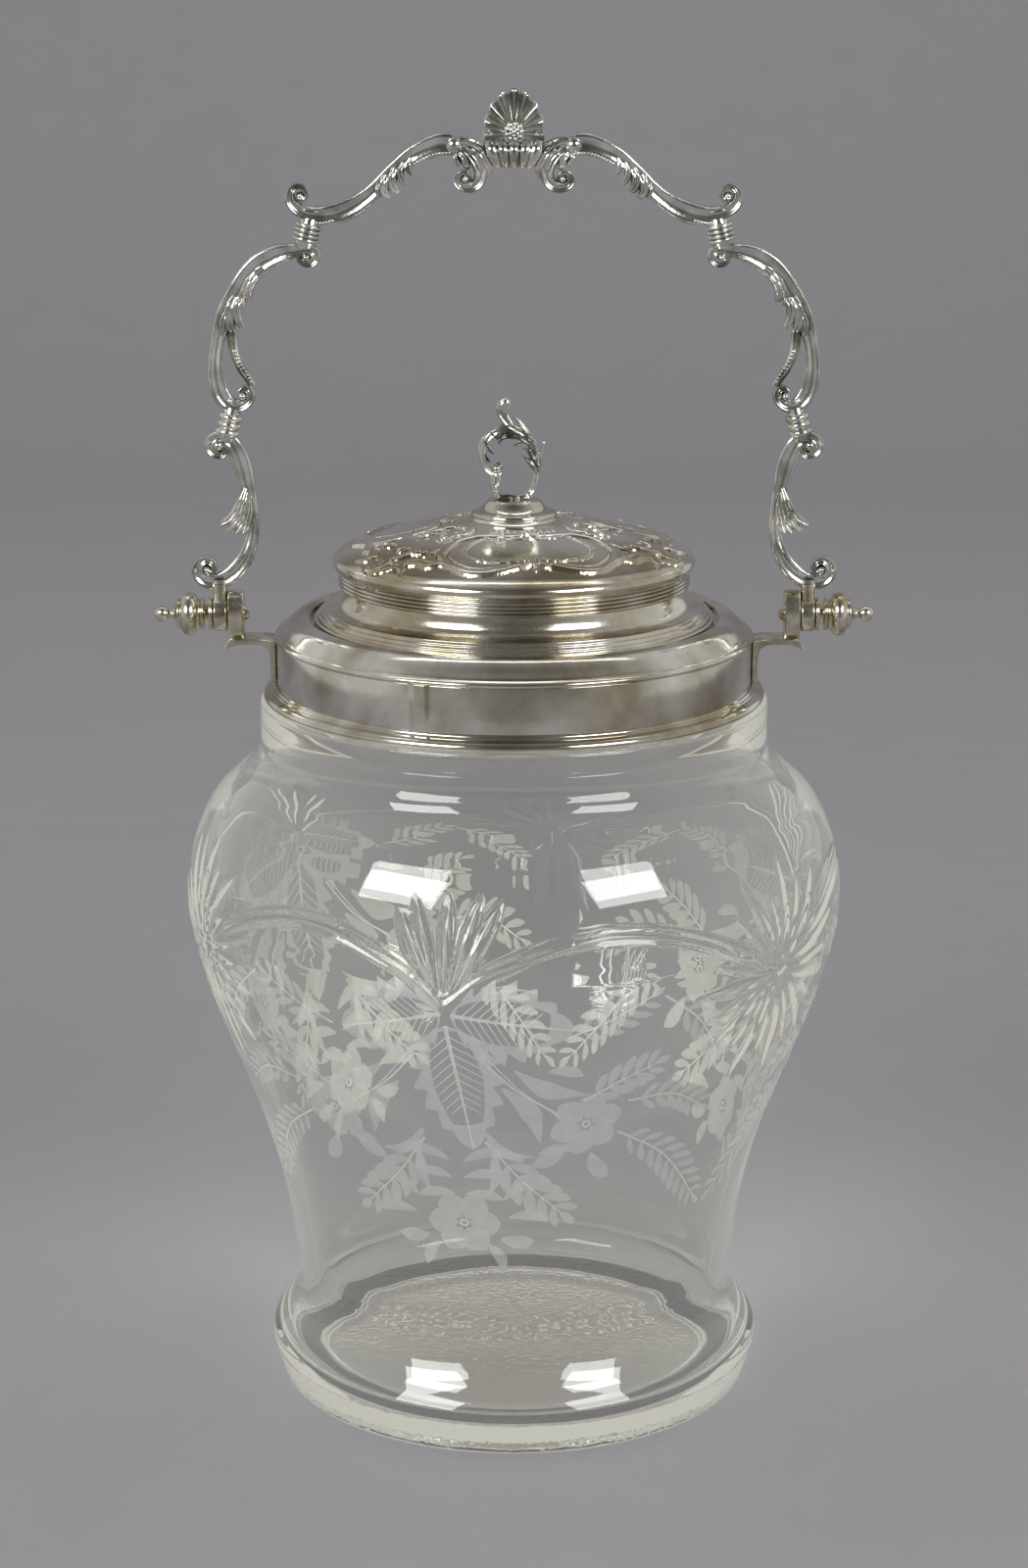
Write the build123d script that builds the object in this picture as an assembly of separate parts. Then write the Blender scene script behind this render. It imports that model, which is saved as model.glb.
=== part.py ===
from build123d import *
import math
import os

# Lidded glass jar with silver mounts and a swing handle
# Millimetres. The origin is the centre of the foot on the table, +Z is up, and the handle's pivots lie
# along X. Right means +X. The left-hand silver pieces mirror the right-hand ones.

# Glass body: foot, waist, belly, neck, and the plain lip that the collar is cemented on
glass_wall = 2.8
floor_thickness = 5.0
foot_height = 8.2
foot_taper = 2.2
foot_flare = 6.1
waist_radius = 44.8
waist_height = 19.8
belly_radius = 66.5
belly_height = 104.0
neck_height = 134.0
neck_length = 9.4
lip_radius = 45.6
lip_rise = 9.4
shelf_width = 5.4
foot_ring_width = 8.7
punt_depth = 1.2
foot_rounding = 0.7

# Outline shares: (share of the way out, share of the way up)
foot_flare_shares = [(0.86, 0.17), (0.60, 0.35), (0.17, 0.70)]
lower_body_shares = [(0.037, 0.10), (0.124, 0.24), (0.318, 0.43), (0.594, 0.62), (0.857, 0.81)]
shoulder_shares = [(0.935, 0.27), (0.761, 0.53), (0.613, 0.66), (0.330, 0.80), (0.10, 0.91)]

# Collar: cement, band, lower bead with its wire, and the shoulder moulding with the lid's seat
cement_thickness = 1.2
band_wall = 0.8
band_height = 12.2
seam_width = 2.8
seam_thickness = 0.25
seam_angle = 248.0
bead_depth = 2.8
bead_height = 2.7
bead_wire = 0.6
shoulder_height = 4.9
shoulder_width = 6.6
shoulder_wall = 1.0
seat_width = 3.6
seat_drop = 1.8
recess_lip_drop = 0.45
flange_side_gap = 1.0
step_bead = 0.45
step_bead_height = 1.1
shoulder_outer_shares = [(0.02, 0.28), (0.10, 0.34), (0.26, 0.52), (0.44, 0.76), (0.66, 0.95), (0.86, 1.0)]

# Lid: one spun sheet, with a bezel ring that hangs in the mouth and a reeded wire under the bulge
lid_wall = 0.9
lid_rest_gap = 0.08
bezel_side_gap = 0.4
bezel_wall = 0.8
bezel_depth = 5.6
flange_thickness = 1.2
lid_step_height = 0.75
lid_step_inset = 0.65
lid_step_count = 3
cove_inset = 3.75
lid_neck_rise = 7.62
reed_proud = 0.8
rim_height = 3.1
reed_count = 4
bulge_overhang = 1.9
bulge_rise = 1.7
dome_rise = 9.0
dome_shares = [(0.965, 0.18), (0.885, 0.33), (0.735, 0.55), (0.50, 0.76), (0.25, 0.91)]

# Finial: turned boss, cast openwork scroll with a tang, and the washer and nut inside the lid
boss_radius = 8.5
boss_ring_height = 0.9
boss_flare_inset = 0.8
boss_top_inset = 2.5
boss_rise = 3.2
finial_rise = 20.0
finial_half_width = 6.3
finial_depth = 1.8
finial_wire = 1.3
finial_ball_radius = 1.05
finial_foot_width = 6.4
finial_foot_height = 0.8
tang_radius = 1.2
tang_gap = 0.05
washer_radius = 3.4
washer_thickness = 0.7
nut_radius = 2.6
nut_height = 1.8
nut_sides = 6
tang_overhang = 0.6

# Finial places: (share of its half width, share of its rise)
finial_left_shares = [(-0.30, 0.02), (-0.62, 0.09), (-0.68, 0.19), (-0.72, 0.27), (-0.93, 0.34),
                      (-0.98, 0.44), (-0.90, 0.56), (-0.68, 0.66), (-0.35, 0.72), (0.02, 0.72)]
finial_right_shares = [(-0.30, 0.02), (0.05, 0.02), (0.36, 0.05), (0.58, 0.13), (0.68, 0.25), (0.72, 0.39),
                       (0.60, 0.55), (0.36, 0.67), (0.02, 0.72)]
finial_plume_shares = [(-0.02, 0.72), (-0.22, 0.78), (-0.42, 0.86), (-0.46, 0.94), (-0.27, 0.97)]
finial_tip_shares = [(0.46, 0.64), (0.28, 0.74), (0.03, 0.83)]
finial_spur_shares = [(0.74, 0.33), (0.84, 0.45), (0.93, 0.58)]
finial_inner_leaf_shares = [(0.69, 0.30), (0.46, 0.37), (0.27, 0.44)]
finial_top_leaf_shares = [(-0.52, 0.68), (-0.42, 0.60), (-0.44, 0.56)]
finial_ball_share = (-0.58, 0.32)
finial_wire_shares = [1.0, 1.0, 0.95, 1.0, 1.1, 1.2, 1.25, 1.15, 1.0]
finial_lobe_shares = [1.1, 1.25, 0.55]

# Brackets and pivots on the collar
strap_thickness = 1.4
strap_width = 7.6
arm_thickness = 1.5
arm_reach = 5.1
arm_hook_drop = 0.9
arm_hook_length = 1.4
ear_thickness = 3.0
ear_half_width = 3.8
ear_height = 9.4
pivot_rise = 4.5
shank_radius = 1.5
thread_gap = 0.03
eye_running_gap = 0.08
eye_side_gap = 0.2
screw_tip_length = 1.1
screw_tip_radius = 0.5
knob_washer_radius = 3.4
knob_washer_thickness = 0.7
knob_neck_radius = 1.9
knob_neck_length = 1.0
knob_step_radius = 3.3
knob_step_length = 1.4
knob_bulge_radius = 4.4
knob_bulge_length = 3.2
knob_disc_radius = 3.0
knob_disc_length = 0.9
knob_waist_radius = 0.75
knob_waist_length = 1.9
knob_ball_radius = 1.55

# Handle: its height above the pivots, and the sizes of its cast limbs
handle_rise = 103.4
eye_thickness = 2.8
eye_radius = 3.5
eye_strap_width = 3.6
eye_strap_share = 0.06
limb_depth = 2.8
limb_width = 2.0
ferrule_tilt = 14.0
upper_ferrule_radius = 2.75
upper_ferrule_length = 3.6
lower_ferrule_radius = 2.4
lower_ferrule_length = 4.6
ferrule_pad_radius = 2.0
ferrule_pad_length = 1.6
ferrule_stem_radius = 1.2
upper_ferrule_reeds = 4
lower_ferrule_reeds = 3

# Handle places: (share of the eye's distance from the axis, share of the handle's rise)
upper_ferrule_share = (0.685, 0.733)
lower_ferrule_share = (0.957, 0.369)
crest_join_share = (0.204, 0.897)
top_arm_shares = [(0.281, 0.892), (0.358, 0.868), (0.434, 0.835), (0.511, 0.801), (0.588, 0.775),
                  (0.652, 0.765)]
top_arm_end_share = (0.700, 0.776)
top_arm_width_shares = [1.1, 1.05, 1.1, 1.2, 1.15, 0.95, 0.9, 1.0, 1.15, 1.2, 1.0]
top_scroll_share = (0.705, 0.790)
top_leaf_shares = [[(0.332, 0.876), (0.358, 0.851), (0.385, 0.818)],
                   [(0.366, 0.866), (0.397, 0.838), (0.429, 0.805)]]
outer_arm_shares = [(0.758, 0.697), (0.826, 0.687), (0.891, 0.660), (0.942, 0.621), (0.978, 0.573),
                    (1.003, 0.517), (1.007, 0.469), (0.993, 0.430)]
outer_arm_start_share = (0.690, 0.692)
outer_arm_end_share = (0.960, 0.402)
outer_arm_width_shares = [1.2, 1.5, 1.6, 1.6, 1.5, 1.3, 1.0, 0.85, 0.8, 0.85, 1.1]
outer_ball_share = (0.685, 0.686)
strut_shares = [(0.930, 0.556), (0.937, 0.513), (0.923, 0.474), (0.903, 0.440)]
strut_width_shares = [0.9, 0.75, 0.75, 0.8]
outer_scroll_share = (0.910, 0.416)
outer_leaf_shares = [[(0.885, 0.655), (0.905, 0.630), (0.906, 0.611)],
                     [(0.935, 0.620), (0.937, 0.580), (0.922, 0.549)]]
lower_arm_shares = [(0.954, 0.312), (0.935, 0.283), (0.922, 0.251), (0.913, 0.216), (0.911, 0.179),
                    (0.918, 0.143), (0.934, 0.110), (0.962, 0.083)]
lower_arm_start_share = (0.966, 0.346)
lower_arm_end_share = (1.045, 0.069)
lower_arm_width_shares = [1.2, 1.15, 0.95, 0.85, 0.95, 1.1, 0.95, 0.9, 0.95, 1.0, 1.0]
lower_scroll_share = (1.056, 0.086)
lower_ball_share = (1.006, 0.337)
lower_leaf_shares = [[(0.921, 0.236), (0.952, 0.186), (1.010, 0.171)],
                     [(0.917, 0.226), (0.940, 0.180), (0.985, 0.162)],
                     [(0.913, 0.212), (0.926, 0.178), (0.950, 0.162)]]
crest_scroll_shares = [(0.150, 0.895), (0.112, 0.878), (0.097, 0.852), (0.112, 0.824)]
crest_scroll_width_shares = [1.1, 1.2, 1.3, 1.2, 1.1, 1.0]
crest_curl_share = (0.144, 0.826)
leaf_width_shares = [1.0, 1.15, 0.5]

# Scrolls, balls and the crest
scroll_radius = 2.2
crest_scroll_radius = 2.5
outer_scroll_radius = 2.6
upper_ball_radius = 1.75
lower_ball_radius = 1.4
scroll_rim_share = 0.62
scroll_web_share = 0.5
scroll_button_share = 0.36
crest_join_radius = 1.5
crest_join_length = 0.9
crest_bar_radius = 0.9
shell_half_width = 6.0
shell_base_share = 0.893
shell_depth = 2.0
shell_flutes = 9
shell_fan_angle = 212.0
shell_scallop_share = 0.07
shell_heart_radius = 2.1
flute_inner_radius = 0.28
flute_outer_radius = 1.1
shell_side_gap = 0.5
flower_radius = 1.8
flower_depth = 1.0
petal_count = 6
petal_radius = 0.62
calyx_radius = 5.3
calyx_height = 4.6
calyx_depth = 4.6
calyx_foot_radius = 2.2
calyx_waist_share = 0.45
calyx_groove = 0.35
calyx_lobes = 5

# One overrun serves every cut
overrun = 2.0

# Places worked out from the sizes above
foot_radius = waist_radius + foot_flare
foot_ring_radius = foot_radius - foot_taper
punt_radius = foot_ring_radius - foot_ring_width
neck_radius = lip_radius + shelf_width
shelf_height = neck_height + neck_length
lip_top = shelf_height + lip_rise
band_inner = lip_radius + cement_thickness
band_radius = band_inner + band_wall
bead_radius = band_radius + bead_depth
band_top = shelf_height + band_height
shoulder_top = band_top + shoulder_height
recess_radius = band_radius - shoulder_width
flange_radius = recess_radius - flange_side_gap
mouth_radius = recess_radius - seat_width
seat_height = shoulder_top - seat_drop
flange_bottom = seat_height + lid_rest_gap
bezel_radius = mouth_radius - bezel_side_gap
lid_neck_radius = flange_radius - lid_step_inset * lid_step_count - cove_inset
rim_radius = lid_neck_radius + reed_proud
bulge_radius = lid_neck_radius + bulge_overhang
lid_neck_height = flange_bottom + lid_neck_rise
bulge_height = lid_neck_height + rim_height + bulge_rise
crown_height = bulge_height + dome_rise
pivot_height = band_top + pivot_rise
ear_inner = band_radius + strap_thickness + arm_reach
ear_outer = ear_inner + ear_thickness
eye_inner = ear_outer + eye_side_gap
eye_outer = eye_inner + eye_thickness
eye_x = (eye_inner + eye_outer) / 2
boss_flare_radius = boss_radius - boss_flare_inset
boss_top_radius = boss_flare_radius - boss_top_inset
boss_top = crown_height + boss_rise
eye_strap_rise = handle_rise * eye_strap_share
shell_base = handle_rise * shell_base_share
shell_heart = shell_base + shell_half_width / 2


def place(share):
    """The point of the handle's plane that a pair of shares stands for, from its pivot line."""
    return (eye_x * share[0], handle_rise * share[1])


def turned(outline):
    """A solid of revolution about Z from a closed outline in (radius, height)."""
    return revolve(Plane.XZ * make_face(outline), axis=Axis.Z)


def ring(inner, outer, bottom, top):
    """A plain ring about Z."""
    wall = Pos(0, 0, bottom) * Cylinder(outer, top - bottom, align=(Align.CENTER, Align.CENTER, Align.MIN))
    bore = Cylinder(inner, top - bottom, align=(Align.CENTER, Align.CENTER, Align.MIN))
    return wall - Pos(0, 0, bottom) * bore


def reeded(inner, outer, bottom, height, count):
    """A ring or barrel about Z whose side is a row of half-round reeds."""
    reed = height / count
    root = outer - reed / 2
    outline = Polyline((root, bottom + height), (inner, bottom + height), (inner, bottom), (root, bottom))
    for index in range(count):
        foot = bottom + reed * index
        outline = outline + ThreePointArc((root, foot), (outer, foot + reed / 2), (root, foot + reed))
    return turned(outline)


def along(origin, direction, shape):
    """Stands a shape that is built up Z on a point, along a direction."""
    return Plane(origin=origin, z_dir=direction) * shape


def standing(radius, height):
    """A cylinder whose foot is at the local origin."""
    return Cylinder(radius, height, align=(Align.CENTER, Align.CENTER, Align.MIN))


def limb(points, width_shares, start=None, end=None, depth=limb_depth, width=limb_width):
    """A cast limb: elliptical sections along a smooth line in the handle's plane."""
    path_points = [(x, 0, z) for x, z in points]
    if start is None:
        spine = Spline(*path_points)
    else:
        spine = Spline(*path_points, tangents=[(start[0], 0, start[1]), (end[0], 0, end[1])])
    sections = []
    for index, share in enumerate(width_shares):
        u = index / (len(width_shares) - 1)
        section = Plane(origin=spine @ u, x_dir=(0, 1, 0), z_dir=spine % u)
        sections.append(section * Ellipse(depth / 2, width * share / 2))
    return loft(sections)


def ribbon(points, width_shares, width):
    """A flat outline of changing width along a smooth line."""
    spine = Spline(*points)
    left = []
    right = []
    for index, share in enumerate(width_shares):
        u = index / (len(width_shares) - 1)
        tangent = spine % u
        sideways = Vector(-tangent.Y, tangent.X) * (width * share / 2)
        left.append(spine @ u + sideways)
        right.append(spine @ u - sideways)
    right.reverse()
    return make_face(Spline(*left) + Line(left[-1], right[0]) + Spline(*right) + Line(right[-1], left[0]))


def scroll(centre, radius, depth):
    """A volute seen end on: a raised rim, a thinner web and a button, about an axis along Y."""
    tube = radius * (1 - scroll_rim_share)
    rim = Torus(radius - tube, tube)
    web = Cylinder(radius - tube, depth * scroll_web_share)
    button = Sphere(radius * scroll_button_share)
    return Plane(origin=(centre[0], 0, centre[1]), z_dir=(0, 1, 0)) * (rim + web + button)


def ball(centre, radius):
    """A cast ball in the handle's plane."""
    return Pos(centre[0], 0, centre[1]) * Sphere(radius)


def leaf(lobes):
    """Acanthus lobes that part from a limb."""
    pieces = [limb([place(share) for share in lobe], leaf_width_shares) for lobe in lobes]
    whole = pieces[0]
    for piece in pieces[1:]:
        whole = whole + piece
    return whole


def glass_outline(wall):
    """Points of the glass from the foot's widest line to the neck, a wall inside the outer face."""
    flare = [(waist_radius + (foot_radius - waist_radius) * out - wall,
              foot_height + (waist_height - foot_height) * up) for out, up in foot_flare_shares]
    body = [(waist_radius + (belly_radius - waist_radius) * out - wall,
             waist_height + (belly_height - waist_height) * up) for out, up in lower_body_shares]
    shoulder = [(neck_radius + (belly_radius - neck_radius) * out - wall,
                 belly_height + (neck_height - belly_height) * up) for out, up in shoulder_shares]
    lower = Spline((foot_radius - wall, foot_height), *flare, (waist_radius - wall, waist_height),
                   tangents=[(0, 1), (0, 1)])
    upper = Spline((waist_radius - wall, waist_height), *body, (belly_radius - wall, belly_height),
                   *shoulder, (neck_radius - wall, neck_height), tangents=[(0, 1), (0, 1)])
    return lower + upper


def make_glass_jar():
    """The blown body: outer skin, then the cavity and the shallow punt under the foot."""
    outside = (Polyline((0, 0), (foot_ring_radius, 0), (foot_radius, foot_height))
               + glass_outline(0)
               + Polyline((neck_radius, neck_height), (neck_radius, shelf_height),
                          (lip_radius, shelf_height), (lip_radius, lip_top), (0, lip_top), (0, 0)))
    inner_lip = lip_radius - glass_wall
    inner_foot = foot_radius - glass_wall
    inner_neck = neck_radius - glass_wall
    floor_edge = inner_foot - floor_thickness
    inside = (Line((0, floor_thickness), (floor_edge, floor_thickness))
              + Spline((floor_edge, floor_thickness), (inner_foot, foot_height), tangents=[(1, 0), (0, 1)])
              + glass_outline(glass_wall)
              + Polyline((inner_neck, neck_height), (inner_lip, shelf_height),
                         (inner_lip, lip_top + overrun), (0, lip_top + overrun), (0, floor_thickness)))
    body = turned(outside) - turned(inside)
    punt = turned(Polyline((0, 0), (punt_radius, 0), (punt_radius - punt_depth, punt_depth),
                           (0, punt_depth), (0, 0)))
    body = body - punt
    base_edge = body.edges().filter_by(GeomType.CIRCLE).group_by(Axis.Z)[0].sort_by(SortBy.LENGTH)[-1]
    return fillet(base_edge, foot_rounding)


def make_collar_cement():
    """Plaster between the lip and the band."""
    return ring(lip_radius, band_inner, shelf_height, lip_top)


def make_collar_band():
    """The plain band, with its upright lap seam."""
    band = ring(band_inner, band_radius, shelf_height, band_top)
    seam_bottom = shelf_height + bead_height + bead_wire
    seam = ring(band_inner, band_radius + seam_thickness, seam_bottom, band_top)
    strip = Box(band_radius + overrun, seam_width, band_height + overrun,
                align=(Align.MIN, Align.CENTER, Align.MIN))
    strip = Rot(0, 0, seam_angle) * Pos(0, 0, shelf_height) * strip
    return band + (seam & strip)


def make_collar_bead():
    """Half-round moulding round the band's foot, with a fine wire on top."""
    bottom = shelf_height
    flat_end = ((band_radius + bead_radius) / 2, bottom)
    half_round = (Line((band_radius, bottom), flat_end)
                  + Spline(flat_end, (bead_radius, bottom + bead_height / 2),
                           (band_radius + bead_wire, bottom + bead_height),
                           tangents=[(1, 0), (-1, 0)])
                  + Polyline((band_radius + bead_wire, bottom + bead_height),
                             (band_radius + bead_wire / 2, bottom + bead_height + bead_wire),
                             (band_radius, bottom + bead_height + bead_wire), (band_radius, bottom)))
    return turned(half_round)


def make_collar_shoulder():
    """Rounded upper moulding, rolled in at the lid, with the recess and the ledge for the flange."""
    span = band_radius - recess_radius
    outer = [(band_radius - span * inward, band_top + shoulder_height * up)
             for inward, up in shoulder_outer_shares]
    step_top = outer[0]
    step_middle = (band_radius + step_bead, band_top + step_bead_height / 2)
    step = Spline((band_radius, band_top), step_middle, step_top)
    skin = Spline(*outer[1:], (recess_radius, shoulder_top - recess_lip_drop))
    ledge_bottom = seat_height - shoulder_wall
    inside = Polyline((recess_radius, shoulder_top - recess_lip_drop), (recess_radius, seat_height),
                      (mouth_radius, seat_height), (mouth_radius, ledge_bottom),
                      (recess_radius + shoulder_wall, ledge_bottom),
                      (recess_radius + shoulder_wall, shoulder_top - seat_drop),
                      (band_inner, band_top + step_bead_height), (band_inner, band_top),
                      (band_radius, band_top))
    return turned(step + Line(step_top, outer[1]) + skin + inside)


def lid_steps():
    """The corners of the little steps between the flange and the cove."""
    corners = []
    for index in range(lid_step_count):
        radius = flange_radius - lid_step_inset * index
        height = flange_bottom + flange_thickness + lid_step_height * index
        corners.append((radius, height))
        corners.append((radius - lid_step_inset, height))
    return corners


def make_lid_shell():
    """Flange, steps, cove neck, bulge and dome, spun from one sheet."""
    steps = lid_steps()
    neck_foot = steps[-1]
    crease = (lid_neck_radius, lid_neck_height + rim_height)
    dome = [(bulge_radius * out, bulge_height + dome_rise * up) for out, up in dome_shares]
    inner_dome = [(x - lid_wall / 2, z - lid_wall) for x, z in dome]
    crown_inner = crown_height - lid_wall
    bulge_inner = bulge_radius - lid_wall
    outer = (Polyline((bezel_radius - bezel_wall, flange_bottom), (flange_radius, flange_bottom), *steps)
             + Spline(neck_foot, (lid_neck_radius, lid_neck_height), tangents=[(-1, 0), (0, 1)])
             + Line((lid_neck_radius, lid_neck_height), crease)
             + Spline(crease, (bulge_radius, bulge_height), *dome, (boss_radius, crown_height))
             + Line((boss_radius, crown_height), (0, crown_height)))
    inner = (Polyline((0, crown_height), (0, crown_inner), (boss_radius, crown_inner))
             + Spline((boss_radius, crown_inner), *reversed(inner_dome), (bulge_inner, bulge_height),
                      (lid_neck_radius - lid_wall, lid_neck_height + rim_height))
             + Line((lid_neck_radius - lid_wall, lid_neck_height + rim_height),
                    (lid_neck_radius - lid_wall, lid_neck_height))
             + Spline((lid_neck_radius - lid_wall, lid_neck_height),
                      (bezel_radius - bezel_wall, flange_bottom + flange_thickness),
                      tangents=[(0, -1), (0, -1)])
             + Line((bezel_radius - bezel_wall, flange_bottom + flange_thickness),
                    (bezel_radius - bezel_wall, flange_bottom)))
    hole = standing(tang_radius + tang_gap, lid_wall + overrun * 2)
    return turned(outer + inner) - Pos(0, 0, crown_inner - overrun) * hole


def make_lid_reeded_rim():
    """The wire of fine reeds round the neck."""
    return reeded(lid_neck_radius, rim_radius, lid_neck_height, rim_height, reed_count)


def make_lid_bezel():
    """The plain ring under the flange that keeps the lid in the mouth."""
    return ring(bezel_radius - bezel_wall, bezel_radius, flange_bottom - bezel_depth, flange_bottom)


def make_finial_boss():
    """The turned foot of the finial, with a hole for its tang."""
    ring_top = crown_height + boss_ring_height
    outline = (Polyline((0, crown_height), (boss_radius, crown_height), (boss_radius, ring_top),
                        (boss_flare_radius, ring_top))
               + Spline((boss_flare_radius, ring_top), (boss_top_radius, boss_top),
                        tangents=[(-1, 0), (0, 1)])
               + Polyline((boss_top_radius, boss_top), (0, boss_top), (0, crown_height)))
    hole = Pos(0, 0, crown_height - overrun) * standing(tang_radius + tang_gap, boss_rise + overrun * 2)
    return turned(outline) - hole


def finial_place(share):
    """A point of the finial's plane, from its foot, by shares of its half width and its rise."""
    return (finial_half_width * share[0], finial_rise * share[1])


def make_finial():
    """The openwork scroll: two arcs that close a loop, plume, tips and leaves, and the tang below."""
    strands = [(finial_left_shares, finial_wire_shares), (finial_right_shares, finial_wire_shares),
               (finial_plume_shares, finial_lobe_shares), (finial_tip_shares, finial_lobe_shares),
               (finial_spur_shares, finial_lobe_shares), (finial_inner_leaf_shares, finial_lobe_shares),
               (finial_top_leaf_shares, finial_lobe_shares)]
    foot = finial_place((0, 0))
    drawing = Pos(*foot) * Rectangle(finial_foot_width, finial_foot_height, align=(Align.CENTER, Align.MIN))
    for shares, widths in strands:
        points = [finial_place(share) for share in shares]
        drawing = drawing + ribbon(points, widths, finial_wire)
    drawing = drawing + Pos(*finial_place(finial_ball_share)) * Circle(finial_ball_radius)
    below_width = finial_foot_width + overrun * 2
    below = Pos(*foot) * Rectangle(below_width, overrun, align=(Align.CENTER, Align.MAX))
    scroll_work = extrude(Plane.XZ * (drawing - below), amount=finial_depth / 2, both=True)
    nut_bottom = crown_height - lid_wall - washer_thickness - nut_height
    tang_length = boss_top - nut_bottom + tang_overhang
    tang = Pos(0, 0, -tang_length) * standing(tang_radius, tang_length)
    return Pos(0, 0, boss_top) * (scroll_work + tang)


def make_finial_washer():
    """The washer on the tang, against the dome's inside."""
    top = crown_height - lid_wall
    return ring(tang_radius + tang_gap, washer_radius, top - washer_thickness, top)


def make_finial_nut():
    """The six-sided nut on the tang."""
    top = crown_height - lid_wall - washer_thickness
    blank = extrude(Pos(0, 0, top - nut_height) * RegularPolygon(nut_radius, nut_sides), nut_height)
    hole = standing(tang_radius + thread_gap, nut_height + overrun * 2)
    return blank - Pos(0, 0, top - nut_height - overrun) * hole


def make_bracket():
    """The strap down the band, and the arm with its curled tip."""
    strap_bottom = shelf_height + bead_height + bead_wire
    strap = ring(band_radius, band_radius + strap_thickness, strap_bottom, band_top)
    slab = Box(band_radius + strap_thickness + overrun, strap_width, band_height + overrun,
               align=(Align.MIN, Align.CENTER, Align.MIN))
    strap = strap & Pos(0, 0, shelf_height) * slab
    arm_bottom = band_top - arm_thickness
    hook_bottom = arm_bottom - arm_hook_drop
    outline = Polyline((band_radius, band_top), (ear_outer, band_top), (ear_outer, hook_bottom),
                       (ear_outer - arm_hook_length, hook_bottom),
                       (ear_outer - arm_hook_length * 2, arm_bottom), (band_radius, arm_bottom),
                       (band_radius, band_top))
    arm = extrude(Plane.XZ * make_face(outline), amount=strap_width / 2, both=True)
    core = standing(band_radius, band_top - hook_bottom + overrun * 2)
    return strap + (arm - Pos(0, 0, hook_bottom - overrun) * core)


def make_bracket_ear():
    """The upright ear, rounded on top, with the screw's hole."""
    foot = band_top
    round_centre = foot + ear_height - ear_half_width
    post = Pos(ear_inner, 0, foot) * Box(ear_thickness, ear_half_width * 2, round_centre - foot,
                                         align=(Align.MIN, Align.CENTER, Align.MIN))
    crown = along((ear_inner, 0, round_centre), (1, 0, 0), standing(ear_half_width, ear_thickness))
    hole = along((ear_inner - overrun, 0, pivot_height), (1, 0, 0),
                 standing(shank_radius + thread_gap, ear_thickness + overrun * 2))
    return post + crown - hole


def make_pivot_screw():
    """One turned piece: pointed end, shank, and the knob with its rings and ball."""
    knob_start = eye_outer + eye_side_gap + knob_washer_thickness - ear_inner
    step_start = knob_start + knob_neck_length
    bulge_start = step_start + knob_step_length
    disc_start = bulge_start + knob_bulge_length
    waist_start = disc_start + knob_disc_length
    ball_start = waist_start + knob_waist_length
    ball_centre = ball_start + math.sqrt(knob_ball_radius ** 2 - knob_waist_radius ** 2)
    bulge_root = knob_bulge_radius - knob_bulge_length / 2
    bulge_top = (knob_bulge_radius, (bulge_start + disc_start) / 2)
    outline = (Polyline((0, -screw_tip_length), (screw_tip_radius, -screw_tip_length), (shank_radius, 0),
                        (shank_radius, knob_start), (knob_neck_radius, knob_start),
                        (knob_neck_radius, step_start), (knob_step_radius, step_start),
                        (knob_step_radius, bulge_start), (bulge_root, bulge_start))
               + ThreePointArc((bulge_root, bulge_start), bulge_top, (bulge_root, disc_start))
               + Polyline((bulge_root, disc_start), (knob_disc_radius, disc_start),
                          (knob_disc_radius, waist_start), (knob_neck_radius, waist_start))
               + Spline((knob_neck_radius, waist_start), (knob_waist_radius, ball_start),
                        tangents=[(-1, 0), (0, 1)])
               + ThreePointArc((knob_waist_radius, ball_start), (knob_ball_radius, ball_centre),
                               (0, ball_centre + knob_ball_radius))
               + Line((0, ball_centre + knob_ball_radius), (0, -screw_tip_length)))
    return along((ear_inner, 0, pivot_height), (1, 0, 0), turned(outline))


def make_washer():
    """The thin washer between the eye and the knob."""
    start = eye_outer + eye_side_gap
    disc = along((start, 0, pivot_height), (1, 0, 0), standing(knob_washer_radius, knob_washer_thickness))
    hole = along((start - overrun, 0, pivot_height), (1, 0, 0),
                 standing(shank_radius + thread_gap, knob_washer_thickness + overrun * 2))
    return disc - hole


def ferrule_axis():
    """The direction of both right-hand ferrules: down, and outward by the tilt."""
    angle = math.radians(ferrule_tilt)
    return (math.sin(angle), 0, -math.cos(angle))


def ferrule_start(share, length):
    """The centre of a ferrule's upper face."""
    x, z = place(share)
    direction = ferrule_axis()
    return (x - direction[0] * length / 2, 0, z - direction[2] * length / 2)


def ferrule_end(share, length):
    """The centre of a ferrule's lower face."""
    x, z = place(share)
    direction = ferrule_axis()
    return (x + direction[0] * length / 2, 0, z + direction[2] * length / 2)


def make_ferrule(share, radius, length, reeds):
    """A short reeded barrel over a joint of the handle."""
    return along(ferrule_start(share, length), ferrule_axis(), reeded(0, radius, 0, length, reeds))


def upper_room():
    """The space of the upper ferrule, cut out of the limbs beside it."""
    room = standing(upper_ferrule_radius + overrun, upper_ferrule_length)
    return along(ferrule_start(upper_ferrule_share, upper_ferrule_length), ferrule_axis(), room)


def lower_room():
    """The space of the lower ferrule, cut out of the limbs beside it."""
    room = standing(lower_ferrule_radius + overrun, lower_ferrule_length)
    return along(ferrule_start(lower_ferrule_share, lower_ferrule_length), ferrule_axis(), room)


def pad_above(share, length):
    """A round pad that stands on a ferrule's upper face."""
    direction = ferrule_axis()
    back = (-direction[0], 0, -direction[2])
    pad = standing(ferrule_pad_radius, ferrule_pad_length)
    return along(ferrule_start(share, length), back, pad)


def pad_below(share, length):
    """A round pad under a ferrule's lower face."""
    pad = standing(ferrule_pad_radius, ferrule_pad_length)
    return along(ferrule_end(share, length), ferrule_axis(), pad)


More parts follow.
